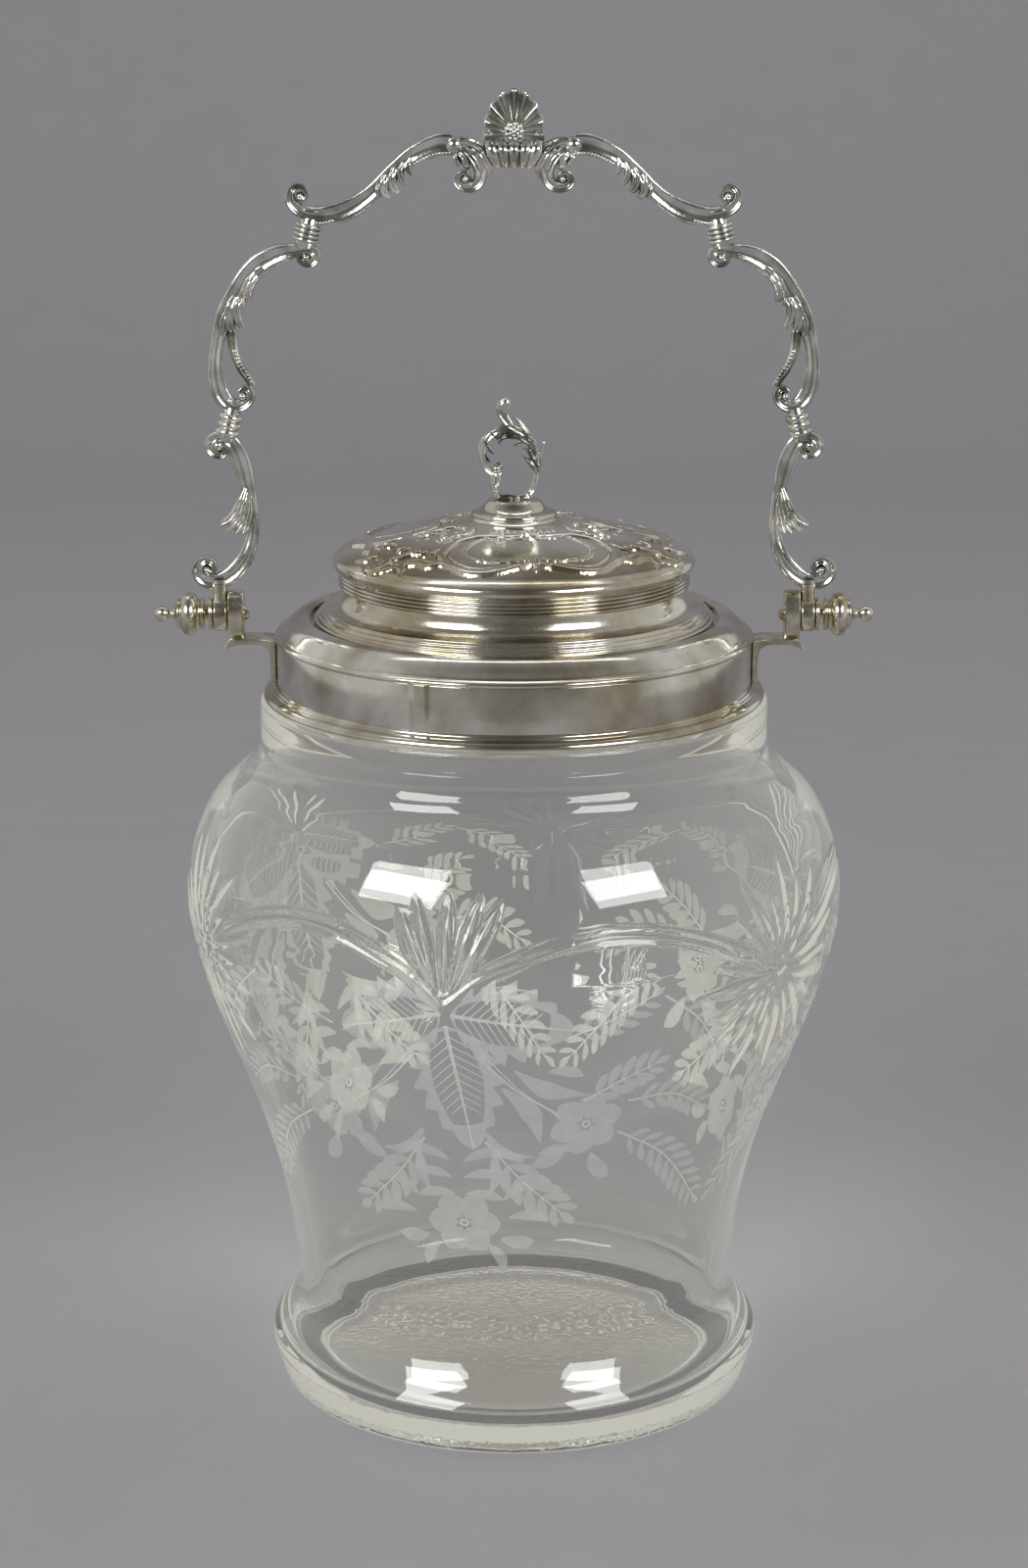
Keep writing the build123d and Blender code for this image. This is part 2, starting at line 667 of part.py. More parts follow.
def stem(start_share, end_share):
    """A round bar between two places of the handle, inside the castings that it joins."""
    start_x, start_z = place(start_share)
    end_x, end_z = place(end_share)
    length = math.dist((start_x, start_z), (end_x, end_z))
    bar = standing(ferrule_stem_radius, length)
    return along((start_x, 0, start_z), (end_x - start_x, 0, end_z - start_z), bar)


def make_top_arm():
    """From the crest down to the upper ferrule, ending in a scroll."""
    points = [place(crest_join_share)] + [place(share) for share in top_arm_shares]
    points.append(place(top_arm_end_share))
    arm = limb(points, top_arm_width_shares, start=(1, 0), end=(1, 1))
    arm = arm + leaf(top_leaf_shares)
    arm = arm + scroll(place(top_scroll_share), scroll_radius, limb_depth)
    arm = arm + pad_above(upper_ferrule_share, upper_ferrule_length)
    return arm - upper_room()


def make_outer_arm():
    """From the upper to the lower ferrule: a C curve, leaves, and the strut beside the drop-shaped hole."""
    points = [place(outer_arm_start_share)] + [place(share) for share in outer_arm_shares]
    points.append(place(outer_arm_end_share))
    arm = limb(points, outer_arm_width_shares)
    arm = arm + ball(place(outer_ball_share), upper_ball_radius)
    arm = arm + pad_below(upper_ferrule_share, upper_ferrule_length)
    arm = arm + stem(upper_ferrule_share, outer_ball_share)
    arm = arm + limb([place(share) for share in strut_shares], strut_width_shares)
    arm = arm + leaf(outer_leaf_shares)
    arm = arm + scroll(place(outer_scroll_share), outer_scroll_radius, limb_depth)
    arm = arm + pad_above(lower_ferrule_share, lower_ferrule_length)
    arm = arm + stem(lower_ferrule_share, outer_arm_end_share)
    return arm - upper_room() - lower_room()


def make_lower_arm():
    """From the lower ferrule to the eye: a slim C curve with one leaf, and a scroll above the eye."""
    points = [place(lower_arm_start_share)] + [place(share) for share in lower_arm_shares]
    points.append(place(lower_arm_end_share))
    arm = limb(points, lower_arm_width_shares)
    arm = arm + ball(place(lower_ball_share), lower_ball_radius)
    arm = arm + pad_below(lower_ferrule_share, lower_ferrule_length)
    arm = arm + stem(lower_ferrule_share, lower_arm_start_share)
    arm = arm + leaf(lower_leaf_shares)
    arm = arm + scroll(place(lower_scroll_share), scroll_radius, limb_depth)
    strap_top = eye_strap_rise
    foot = Box(eye_thickness, limb_depth, place(lower_arm_end_share)[1] - strap_top,
               align=(Align.CENTER, Align.CENTER, Align.MIN))
    arm = arm + Pos(eye_x, 0, strap_top) * foot
    room = Box(eye_thickness + overrun * 2, limb_depth + overrun * 2, eye_strap_rise,
               align=(Align.CENTER, Align.CENTER, Align.MAX))
    return arm - lower_room() - Pos(eye_x, 0, strap_top) * room


def make_handle_eye():
    """The strap and the round eye that turns on the screw's shank."""
    disc = along((eye_inner, 0, 0), (1, 0, 0), standing(eye_radius, eye_thickness))
    strap = Pos(eye_x, 0, 0) * Box(eye_thickness, eye_strap_width, eye_strap_rise,
                                   align=(Align.CENTER, Align.CENTER, Align.MIN))
    hole = along((eye_inner - overrun, 0, 0), (1, 0, 0),
                 standing(shank_radius + eye_running_gap, eye_thickness + overrun * 2))
    return disc + strap - hole


def make_crest_calyx():
    """The lobed cup under the shell, cast with the two scrolls that carry the top arms."""
    foot = shell_base - calyx_height
    waist = foot + calyx_height * calyx_waist_share
    side = Spline((calyx_foot_radius, foot), (calyx_radius, waist), (calyx_radius, shell_base))
    base = Line((-calyx_foot_radius, foot), (calyx_foot_radius, foot))
    top = Line((-calyx_radius, shell_base), (calyx_radius, shell_base))
    drawing = make_face(side + base + mirror(side, about=Plane.YZ) + top)
    cup = extrude(Plane.XZ * drawing, amount=calyx_depth / 2, both=True)
    lobe_width = calyx_radius * 2 / calyx_lobes
    for index in range(calyx_lobes - 1):
        x = lobe_width * (index + 1) - calyx_radius
        for face in (1, -1):
            groove = standing(calyx_groove, calyx_height + overrun * 2)
            cup = cup - Pos(x, face * calyx_depth / 2, foot - overrun) * groove
    points = [place(crest_join_share)] + [place(share) for share in crest_scroll_shares]
    branch = limb(points, crest_scroll_width_shares, start=(-1, 0), end=(1, -1))
    branch = branch + scroll(place(crest_curl_share), crest_scroll_radius, limb_depth)
    join_x, join_z = place(crest_join_share)
    collar = along((join_x - crest_join_length, 0, join_z), (1, 0, 0),
                   standing(crest_join_radius, crest_join_length))
    branch = branch + collar
    bar_length = place(crest_scroll_shares[0])[0]
    bar = along((0, 0, shell_base - crest_bar_radius), (1, 0, 0), standing(crest_bar_radius, bar_length))
    branch = branch + bar
    room = Pos(0, 0, shell_base) * Box(shell_half_width * 2 + shell_side_gap, calyx_depth, calyx_height,
                                       align=(Align.CENTER, Align.CENTER, Align.MIN))
    branch = branch - room
    return cup + branch + mirror(branch, about=Plane.YZ)


def shell_point(angle, reach):
    """A point on the fan, from its angle in degrees and a share of its size."""
    rise = handle_rise - shell_heart
    x = shell_half_width * reach * math.cos(math.radians(angle))
    z = rise * reach * math.sin(math.radians(angle))
    return (x, shell_heart + z)


def make_crest_shell():
    """A scalloped fan, fluted on both faces, round a plain heart."""
    step = shell_fan_angle / shell_flutes / 2
    first = 90 - shell_fan_angle / 2
    edge = []
    for index in range(shell_flutes * 2 + 1):
        reach = 1 if index % 2 else 1 - shell_scallop_share
        edge.append(shell_point(first + step * index, reach))
    right_foot = (edge[0][0], shell_base)
    left_foot = (edge[-1][0], shell_base)
    outline = Spline(*edge) + Polyline(edge[-1], left_foot, right_foot, edge[0])
    fan = extrude(Plane.XZ * make_face(outline), amount=shell_depth / 2, both=True)
    reach = handle_rise - shell_heart
    for index in range(shell_flutes):
        angle = math.radians(first + step * (2 * index + 1))
        direction = (math.cos(angle), 0, math.sin(angle))
        for side in (1, -1):
            start = (direction[0] * shell_heart_radius, side * (shell_depth / 2 + flute_inner_radius),
                     shell_heart + direction[2] * shell_heart_radius)
            flute = Cone(flute_inner_radius, flute_outer_radius, reach,
                         align=(Align.CENTER, Align.CENTER, Align.MIN))
            fan = fan - along(start, direction, flute)
    return fan


def make_crest_flowers():
    """A small flower on the heart of each face of the fan."""
    flowers = []
    for side in (1, -1):
        face = Plane(origin=(0, side * shell_depth / 2, shell_heart), z_dir=(0, side, 0))
        bud = Cone(flower_radius, flower_radius - petal_radius, flower_depth,
                   align=(Align.CENTER, Align.CENTER, Align.MIN))
        for index in range(petal_count):
            angle = 2 * math.pi * index / petal_count
            reach = flower_radius - petal_radius
            tip = Pos(reach * math.cos(angle), reach * math.sin(angle), flower_depth)
            bud = bud + tip * Sphere(petal_radius)
        flowers.append(face * bud)
    return Compound(children=[flower.solid() for flower in flowers])


def lifted(shape):
    """Moves a piece of the handle from height zero up to the pivots."""
    return Pos(0, 0, pivot_height) * shape


def main():
    """Writes one file for each named piece."""
    os.makedirs("parts", exist_ok=True)
    single = {
        "glass_jar": make_glass_jar(),
        "collar_cement": make_collar_cement(),
        "collar_band": make_collar_band(),
        "collar_bead": make_collar_bead(),
        "collar_shoulder": make_collar_shoulder(),
        "lid_shell": make_lid_shell(),
        "lid_reeded_rim": make_lid_reeded_rim(),
        "lid_bezel": make_lid_bezel(),
        "finial_boss": make_finial_boss(),
        "finial": make_finial(),
        "finial_washer": make_finial_washer(),
        "finial_nut": make_finial_nut(),
    }
    crest = {
        "crest_shell": make_crest_shell(),
        "crest_flowers": make_crest_flowers(),
        "crest_calyx": make_crest_calyx(),
    }
    for name, shape in crest.items():
        single[name] = lifted(shape)
    paired = {
        "bracket": make_bracket(),
        "bracket_ear": make_bracket_ear(),
        "pivot_screw": make_pivot_screw(),
        "washer": make_washer(),
    }
    arms = {
        "top_arm": make_top_arm(),
        "upper_ferrule": make_ferrule(upper_ferrule_share, upper_ferrule_radius, upper_ferrule_length,
                                      upper_ferrule_reeds),
        "outer_arm": make_outer_arm(),
        "lower_ferrule": make_ferrule(lower_ferrule_share, lower_ferrule_radius, lower_ferrule_length,
                                      lower_ferrule_reeds),
        "lower_arm": make_lower_arm(),
        "handle_eye": make_handle_eye(),
    }
    for name, shape in arms.items():
        paired[name] = lifted(shape)
    for name, shape in single.items():
        export_step(shape, "parts/" + name + ".step")
    for name, shape in paired.items():
        export_step(shape, "parts/right_" + name + ".step")
        export_step(mirror(shape, about=Plane.YZ), "parts/left_" + name + ".step")


main()
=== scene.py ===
"""Looks of a lidded glass jar with silver mounts and a cast swing handle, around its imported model."""
import logging
import math
from dataclasses import dataclass, field
from enum import Enum
from typing import Any, Sequence

import bmesh
import bpy
import numpy as np
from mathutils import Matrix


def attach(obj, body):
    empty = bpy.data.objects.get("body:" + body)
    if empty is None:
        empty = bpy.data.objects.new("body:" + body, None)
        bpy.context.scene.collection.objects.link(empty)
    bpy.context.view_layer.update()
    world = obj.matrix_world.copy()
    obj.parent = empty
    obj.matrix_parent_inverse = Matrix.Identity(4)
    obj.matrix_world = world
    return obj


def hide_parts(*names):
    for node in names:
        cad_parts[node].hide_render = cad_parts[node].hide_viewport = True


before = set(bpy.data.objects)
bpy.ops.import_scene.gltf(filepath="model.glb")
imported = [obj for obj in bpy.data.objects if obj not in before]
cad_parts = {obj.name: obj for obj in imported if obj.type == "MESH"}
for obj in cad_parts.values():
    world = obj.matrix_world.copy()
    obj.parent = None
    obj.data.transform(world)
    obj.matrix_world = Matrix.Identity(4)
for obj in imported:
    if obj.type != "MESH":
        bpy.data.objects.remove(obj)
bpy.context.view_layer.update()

MM = 0.001
LOG = logging.getLogger("jar")
# A Mix node's colour inputs and output go by number, since other sockets of it share their names
MIX_A, MIX_B, MIX_OUT = 6, 7, 2
# A cast strand's steps along, in millimetres, and the sides of its section
STRAND_STEP, STRAND_SIDES = 0.35, 28
# The angles past which an edge stays sharp, on most pieces and on cast ones
CREASE, CAST_CREASE = 42.0, 50.0
# Shares of a ground petal's half width from its root to its tip
PETAL_OUTLINE = (0.12, 0.62, 0.92, 1.0, 0.85, 0.1)

Points = Sequence[Sequence[float]]
Pairs = tuple[tuple[float, float], ...]
Corners = tuple[tuple[float, float, float], ...]


class Body(Enum):
    """The bodies that the joints move."""

    JAR = "jar"
    LID = "lid"
    HANDLE = "handle"


class Section(Enum):
    """Cross-sections of a cast strand, across its width."""

    ROUND = "round"
    CHANNEL = "channel"
    RIBBED = "ribbed"
    FLAT = "flat"
    LOBE = "lobe"


class Side(Enum):
    """Right is +X, left is its mirror."""

    RIGHT = "right"
    LEFT = "left"


def linear_colour(code: str) -> tuple[float, float, float, float]:
    """Turns an sRGB hex colour into linear light.

    Args:
        code: Six hex digits after a hash.

    Returns:
        Red, green, blue and an alpha of 1.
    """
    parts = [int(code[i:i + 2], 16) / 255 for i in (1, 3, 5)]
    red, green, blue = (p / 12.92 if p <= 0.04045 else ((p + 0.055) / 1.055) ** 2.4 for p in parts)
    return red, green, blue, 1.0


def add_node(tree: bpy.types.NodeTree, kind: str, settings: dict[Any, Any] | None = None,
             links: dict[Any, bpy.types.NodeSocket] | None = None) -> bpy.types.Node:
    """Adds a shader node with its settings and links.

    Args:
        tree: The material's or world's node tree.
        kind: The node's type name.
        settings: Socket names or numbers, or attribute names, with their values. "stops" sets a ramp.
        links: Socket names or numbers with the sockets that feed them.

    Returns:
        The new node.
    """
    made = tree.nodes.new(kind)
    for name, value in (settings or {}).items():
        if name == "stops":
            for element, (position, colour) in zip(made.color_ramp.elements, value):
                element.position = position
                element.color = colour
        elif isinstance(name, int) or name in made.inputs:
            made.inputs[name].default_value = value
        else:
            setattr(made, name, value)
    for name, source in (links or {}).items():
        tree.links.new(source, made.inputs[name])
    return made


def new_material(name: str) -> tuple[bpy.types.Material, bpy.types.NodeTree]:
    """Makes an empty node material.

    Args:
        name: The material's name.

    Returns:
        The material and its cleared tree.
    """
    material = bpy.data.materials.new(name)
    material.use_nodes = True
    material.node_tree.nodes.clear()
    return material, material.node_tree


@dataclass(frozen=True)
class Silver:
    """Sterling silver: bright where hands rub it, clouded with tarnish, black in its hollows from tarnish
    that polish can't reach and from painted shade.
    """

    name: str
    bright: str
    tarnish: str
    hollow_tarnish_and_shade: str
    roughness: float
    cloud_mm: float
    recess_mm: float
    tarnish_and_shade_share: float
    dent_mm: float
    rub_mm: float = 0.4
    dent_depth: float = 0.00012

    def material(self) -> bpy.types.Material:
        """Builds the finish: two cloud tones, dark hollows of tarnish and painted shade, uneven polish and
        fine rubbing marks.

        Returns:
            The material.
        """
        material, tree = new_material(self.name)
        place = add_node(tree, "ShaderNodeTexCoord").outputs["Object"]
        clouds = add_node(tree, "ShaderNodeTexNoise", {"Scale": 1 / (self.cloud_mm * MM), "Detail": 5.0},
                          {"Vector": place})
        stops = [(0.40, linear_colour(self.bright)), (0.66, linear_colour(self.tarnish))]
        tone = add_node(tree, "ShaderNodeValToRGB", {"stops": stops}, {"Fac": clouds.outputs["Fac"]})
        # Ambient occlusion darkens the hollows and the gaps between parts toward the dark colour: painted
        # shade, with the tarnish that stays there
        crease = add_node(tree, "ShaderNodeAmbientOcclusion",
                          {"samples": 8, "only_local": True, "Distance": self.recess_mm * MM})
        dark = add_node(tree, "ShaderNodeMapRange",
                        {"From Min": 0.05, "From Max": 0.5, "To Min": self.tarnish_and_shade_share, "To Max": 0.0},
                        {"Value": crease.outputs["AO"]})
        colour = add_node(tree, "ShaderNodeMix", {"data_type": "RGBA", MIX_B: linear_colour(self.hollow_tarnish_and_shade)},
                          {0: dark.outputs["Result"], MIX_A: tone.outputs["Color"]})
        # Rubbing marks are a few hundredths of a millimetre wide, drawn at 0.4 mm so that they show
        rubbed = add_node(tree, "ShaderNodeTexNoise", {"Scale": 1 / (self.rub_mm * MM), "Detail": 3.0},
                          {"Vector": place})
        rough = add_node(tree, "ShaderNodeMapRange",
                         {"From Min": 0.3, "From Max": 0.7, "To Min": self.roughness * 0.8,
                          "To Max": self.roughness * 1.5}, {"Value": rubbed.outputs["Fac"]})
        dents = add_node(tree, "ShaderNodeTexNoise", {"Scale": 1 / (self.dent_mm * MM), "Detail": 2.0},
                         {"Vector": place})
        bump = add_node(tree, "ShaderNodeBump", {"Strength": 0.35, "Distance": self.dent_depth},
                        {"Height": dents.outputs["Fac"]})
        shader = add_node(tree, "ShaderNodeBsdfPrincipled", {"Metallic": 1.0},
                          {"Base Color": colour.outputs[MIX_OUT], "Roughness": rough.outputs["Result"],
                           "Normal": bump.outputs["Normal"]})
        add_node(tree, "ShaderNodeOutputMaterial", links={"Surface": shader.outputs[0]})
        return material


@dataclass(frozen=True)
class Flint:
    """Clear blown flint glass with a faint straw tint where it is seen edge on, polished or worn by use.

    Light that has met more surfaces than walls, or been mirrored more often than turns, ends in painted
    room light:
    the glass glows there in the tone of the room, where a render would stop it black.
    """

    name: str = "clear_flint_glass"
    tint: str = "#FDFDFA"
    shade: str = "#FBFBF9"
    room: str = "#C9C8BE"
    walls: float = 6.5
    turns: float = 1.5
    ripple_mm: float = 14.0
    ripple_depth: float = 0.0003
    wear: float = 0.0

    def material(self) -> bpy.types.Material:
        """Builds the glass. Lamps shine through it, a little dimmed, as they do through the real one.

        Returns:
            The material.
        """
        material, tree = new_material(self.name)
        place = add_node(tree, "ShaderNodeTexCoord").outputs["Object"]
        ripple = add_node(tree, "ShaderNodeTexNoise", {"Scale": 1 / (self.ripple_mm * MM), "Detail": 1.0},
                          {"Vector": place})
        bump = add_node(tree, "ShaderNodeBump", {"Strength": 0.2, "Distance": self.ripple_depth},
                        {"Height": ripple.outputs["Fac"]})
        glass = add_node(tree, "ShaderNodeBsdfPrincipled",
                         {"Base Color": linear_colour(self.tint), "Roughness": self.wear, "IOR": 1.52,
                          "Transmission Weight": 1.0}, {"Normal": bump.outputs["Normal"]})
        through = add_node(tree, "ShaderNodeBsdfTransparent", {"Color": linear_colour(self.shade)})
        path = add_node(tree, "ShaderNodeLightPath")
        mix = add_node(tree, "ShaderNodeMixShader",
                       links={0: path.outputs["Is Shadow Ray"], 1: glass.outputs[0], 2: through.outputs[0]})
        crossed = add_node(tree, "ShaderNodeMath", {"operation": "GREATER_THAN", 1: self.walls},
                           {0: path.outputs["Ray Depth"]})
        turned = add_node(tree, "ShaderNodeMath", {"operation": "GREATER_THAN", 1: self.turns},
                          {0: path.outputs["Glossy Depth"]})
        painted_glow_mask = add_node(tree, "ShaderNodeMath", {"operation": "MAXIMUM"},
                        {0: crossed.outputs[0], 1: turned.outputs[0]})
        # Painted room light: the glass glows in the room's tone where rays went past walls or turns
        room = add_node(tree, "ShaderNodeEmission", {"Color": linear_colour(self.room)})
        whole = add_node(tree, "ShaderNodeMixShader",
                         links={0: painted_glow_mask.outputs[0], 1: mix.outputs[0], 2: room.outputs[0]})
        add_node(tree, "ShaderNodeOutputMaterial", links={"Surface": whole.outputs[0]})
        return material


@dataclass(frozen=True)
class WheelMatte:
    """Glass ground with a copper wheel: a white frost that lets some light through."""

    name: str
    colour: str
    shade: str
    cover: float
    pass_mm: float = 3.0

    def material(self) -> bpy.types.Material:
        """Builds the frost, a little uneven from one pass of the wheel to the next.

        Returns:
            The material.
        """
        material, tree = new_material(self.name)
        place = add_node(tree, "ShaderNodeTexCoord").outputs["Object"]
        # The wheel's pits of 0.1 mm are too fine to draw, so its passes, 3 mm wide, stand for them
        passes = add_node(tree, "ShaderNodeTexNoise", {"Scale": 1 / (self.pass_mm * MM), "Detail": 1.0},
                          {"Vector": place})
        stops = [(0.35, linear_colour(self.colour)), (0.65, linear_colour(self.shade))]
        tone = add_node(tree, "ShaderNodeValToRGB", {"stops": stops}, {"Fac": passes.outputs["Fac"]})
        shader = add_node(tree, "ShaderNodeBsdfPrincipled", {"Roughness": 0.8, "Alpha": self.cover},
                          {"Base Color": tone.outputs["Color"]})
        add_node(tree, "ShaderNodeOutputMaterial", links={"Surface": shader.outputs[0]})
        return material


@dataclass(frozen=True)
class Plain:
    """A plain dry or turned stuff with a mottled tone, such as plaster or unpolished brass."""

    name: str
    light: str
    dark: str
    roughness: float
    metallic: float
    grain_mm: float

    def material(self) -> bpy.types.Material:
        """Builds the mottled tone with a little grain.

        Returns:
            The material.
        """
        material, tree = new_material(self.name)
        place = add_node(tree, "ShaderNodeTexCoord").outputs["Object"]
        grain = add_node(tree, "ShaderNodeTexNoise", {"Scale": 1 / (self.grain_mm * MM), "Detail": 4.0},
                         {"Vector": place})
        stops = [(0.35, linear_colour(self.light)), (0.7, linear_colour(self.dark))]
        tone = add_node(tree, "ShaderNodeValToRGB", {"stops": stops}, {"Fac": grain.outputs["Fac"]})
        bump = add_node(tree, "ShaderNodeBump", {"Strength": 0.3, "Distance": 0.0001},
                        {"Height": grain.outputs["Fac"]})
        shader = add_node(tree, "ShaderNodeBsdfPrincipled",
                          {"Metallic": self.metallic, "Roughness": self.roughness},
                          {"Base Color": tone.outputs["Color"], "Normal": bump.outputs["Normal"]})
        add_node(tree, "ShaderNodeOutputMaterial", links={"Surface": shader.outputs[0]})
        return material


def flow(points: Points, count: int) -> np.ndarray:
    """A smooth line through points.

    Args:
        points: Two or more points of any dimension.
        count: How many samples to return.

    Returns:
        The samples, one row each.
    """
    knots = np.asarray(points, float)
    gaps = np.linalg.norm(np.diff(knots, axis=0), axis=1)
    at = np.r_[0.0, np.cumsum(gaps)]
    slope = np.gradient(knots, at, axis=0)
    where = np.linspace(0, at[-1], count)
    index = np.clip(np.searchsorted(at, where) - 1, 0, len(gaps) - 1)
    step = gaps[index][:, None]
    s = ((where - at[index]) / gaps[index])[:, None]
    return ((2 * s ** 3 - 3 * s ** 2 + 1) * knots[index] + (s ** 3 - 2 * s ** 2 + s) * step * slope[index]
            + (3 * s ** 2 - 2 * s ** 3) * knots[index + 1] + (s ** 3 - s ** 2) * step * slope[index + 1])


def spread(values: Sequence[float], count: int) -> np.ndarray:
    """Values at even steps along a line, filled in between.

    Args:
        values: The known values, evenly spread.
        count: How many samples to return.

    Returns:
        The samples.
    """
    return np.interp(np.linspace(0, 1, count), np.linspace(0, 1, len(values)), values)


def softened(corners: Points, steps: int = 3) -> np.ndarray:
    """Rounds the corners of an outline.

    Args:
        corners: (x, y, radius) of each corner. A radius of 0 leaves the point as it is.
        steps: How many points each rounded corner gets, less one.

    Returns:
        The rounded outline's points.
    """
    count = len(corners)
    line = []
    for index, (x, y, radius) in enumerate(corners):
        here = np.array((x, y))
        if not radius or index in (0, count - 1):
            line.append(here)
            continue
        back = np.array(corners[index - 1][:2]) - here
        ahead = np.array(corners[index + 1][:2]) - here
        start = here + back * min(0.5, radius / np.linalg.norm(back))
        end = here + ahead * min(0.5, radius / np.linalg.norm(ahead))
        for t in np.linspace(0, 1, steps + 1):
            line.append((1 - t) ** 2 * start + 2 * t * (1 - t) * here + t ** 2 * end)
    return np.array(line)
def wrapped(radius: np.ndarray, height: np.ndarray | float, angle: np.ndarray) -> np.ndarray:
    """Points round the jar's axis.

    Args:
        radius: Their distances from the axis.
        height: Their heights.
        angle: Their angles in radians, 0 in front and growing to the right.

    Returns:
        X, Y and Z of each, in the shape that the three make together.
    """
    return np.stack([radius * np.sin(angle), -radius * np.cos(angle), height + 0 * angle], axis=-1)


def bulge_of(section: Section, across: np.ndarray, front: np.ndarray) -> np.ndarray:
    """How far a cast section stands out at each point round it.

    Args:
        section: The kind of section.
        across: Each point's place from side to side, from -1 to 1.
        front: Each point's place from back to front on a circle.

    Returns:
        The shares of the section's full depth.
    """
    bulge = np.abs(front)
    if section is Section.CHANNEL:
        return np.sqrt(1 - across ** 4) * (1 - 0.6 * (1 - across ** 2) ** 2)
    if section is Section.RIBBED:
        return bulge * (1 + 0.25 * np.cos(3 * math.pi * across))
    if section is Section.FLAT:
        return bulge ** 0.5
    if section is Section.LOBE:
        return bulge ** 0.7 * (1 - 0.22 * np.exp(-(across / 0.22) ** 2))
    return bulge
@dataclass
class Form:
    """A mesh in the making, in millimetres."""

    points: list[np.ndarray] = field(default_factory=list)
    faces: list[tuple[int, ...]] = field(default_factory=list)
    marks: list[int] = field(default_factory=list)
    count: int = 0

    def add(self, points: np.ndarray, faces: list[tuple[int, ...]], mark: int = 0) -> None:
        """Adds points and the faces between them.

        Args:
            points: One row of X, Y and Z each.
            faces: Point numbers within these points.
            mark: Which of the piece's finishes the faces take.
        """
        self.points.append(np.asarray(points, float))
        self.faces.extend(tuple(i + self.count for i in face) for face in faces)
        self.marks.extend([mark] * len(faces))
        self.count += len(points)

    def grid(self, net: np.ndarray, round_rows: bool = False, round_columns: bool = False,
             mark: int = 0) -> None:
        """Adds a net of points with a face in each mesh of it.

        Args:
            net: Points by row and column.
            round_rows: Whether the last row joins the first.
            round_columns: Whether the last column joins the first.
            mark: Which of the piece's finishes the faces take.
        """
        rows, columns = net.shape[:2]
        row = np.arange(rows if round_rows else rows - 1)[:, None]
        column = np.arange(columns if round_columns else columns - 1)[None, :]
        below, beside = (row + 1) % rows, (column + 1) % columns
        quads = np.stack([row * columns + column, row * columns + beside, below * columns + beside,
                          below * columns + column], axis=-1).reshape(-1, 4)
        self.add(net.reshape(-1, 3), [tuple(quad) for quad in quads.tolist()], mark)

    def turned(self, outline: np.ndarray, segments: int = 192, axis: str = "Z",
               centre: Sequence[float] = (0.0, 0.0, 0.0)) -> None:
        """Adds a turned solid from a closed outline.

        Args:
            outline: (radius, distance along the axis) of each point, round the section once.
            segments: How many steps go round.
            axis: X or Z.
            centre: Where the axis' zero lies.
        """
        angle = np.linspace(0, 2 * math.pi, segments, endpoint=False)
        radius, along = outline[:, 0][:, None], outline[:, 1][:, None] + 0 * angle[None, :]
        first, second = radius * np.cos(angle), radius * np.sin(angle)
        net = np.stack([along, first, second] if axis == "X" else [first, second, along], axis=-1)
        self.grid(net + np.asarray(centre), round_rows=True, round_columns=True)

    def strand(self, path: Points, widths: Sequence[float], depths: Sequence[float],
               section: Section = Section.ROUND) -> None:
        """Adds a cast strand along a line in the handle's plane, pointed or blunt at its ends.

        Args:
            path: (x, z) or (x, y, z) points.
            widths: Half widths in the plane, spread along the line.
            depths: Half thicknesses through the plane, spread along the line.
            section: The shape across.
        """
        line = np.asarray(path, float)
        if line.shape[1] == 2:
            line = np.stack([line[:, 0], np.zeros(len(line)), line[:, 1]], axis=-1)
        length = np.linalg.norm(np.diff(line, axis=0), axis=1).sum()
        steps = max(10, int(length / STRAND_STEP))
        spine = flow(line, steps)
        heading = np.gradient(spine, axis=0)
        sideways = np.stack([-heading[:, 2], np.zeros(steps), heading[:, 0]], axis=-1)
        sideways /= np.linalg.norm(sideways, axis=1)[:, None]
        around = np.linspace(0, 2 * math.pi, STRAND_SIDES, endpoint=False)
        across, front = np.cos(around), np.sin(around)
        bulge = bulge_of(section, across, front)
        wide, deep = spread(widths, steps), spread(depths, steps)
        through = (deep[:, None] * (bulge * np.sign(front))[None, :])[:, :, None]
        net = (spine[:, None, :] + sideways[:, None, :] * (wide[:, None] * across[None, :])[:, :, None]
               + np.array((0.0, 1.0, 0.0)) * through)
        start = self.count
        self.grid(net, round_columns=True)
        for ring, tip, end in ((0, spine[0], 1), (steps - 1, spine[-1], -1)):
            first = start + ring * STRAND_SIDES
            fan = [(first + i, first + (i + 1) % STRAND_SIDES, self.count) for i in range(STRAND_SIDES)]
            self.points.append(tip[None, :])
            self.faces.extend(face[::end] for face in fan)
            self.marks.extend([0] * len(fan))
            self.count += 1

    def leaves(self, leaves: Sequence[tuple[Points, float]], profile: Sequence[float],
               depths: Sequence[float], section: Section = Section.LOBE) -> None:
        """Adds cast leaves that share one outline.

        Args:
            leaves: Each leaf's (x, z) points and half width.
            profile: Shares of the half width, spread along each leaf.
            depths: Half thicknesses, spread along each leaf.
            section: The shape across.
        """
        for path, half in leaves:
            self.strand(path, [half * share for share in profile], depths, section)

    def ball(self, centre: Sequence[float], radius: float, squash: float = 1.0, fine: int = 12) -> None:
        """Adds a cast ball or bead.

        Args:
            centre: Its X, Y and Z.
            radius: Its radius.
            squash: Its thickness through the plane, as a share of its width.
            fine: How many rings it has.
        """
        turn = np.linspace(-math.pi / 2, math.pi / 2, fine)
        outline = np.stack([np.cos(turn), np.sin(turn)], axis=-1) * radius
        outline[[0, -1], 0] = 0.0
        angle = np.linspace(0, 2 * math.pi, fine * 2, endpoint=False)
        net = np.stack([outline[:, :1] * np.cos(angle), outline[:, :1] * np.sin(angle) * squash,
                        outline[:, 1:] + 0 * angle], axis=-1)
        self.grid(net + np.asarray(centre), round_columns=True)

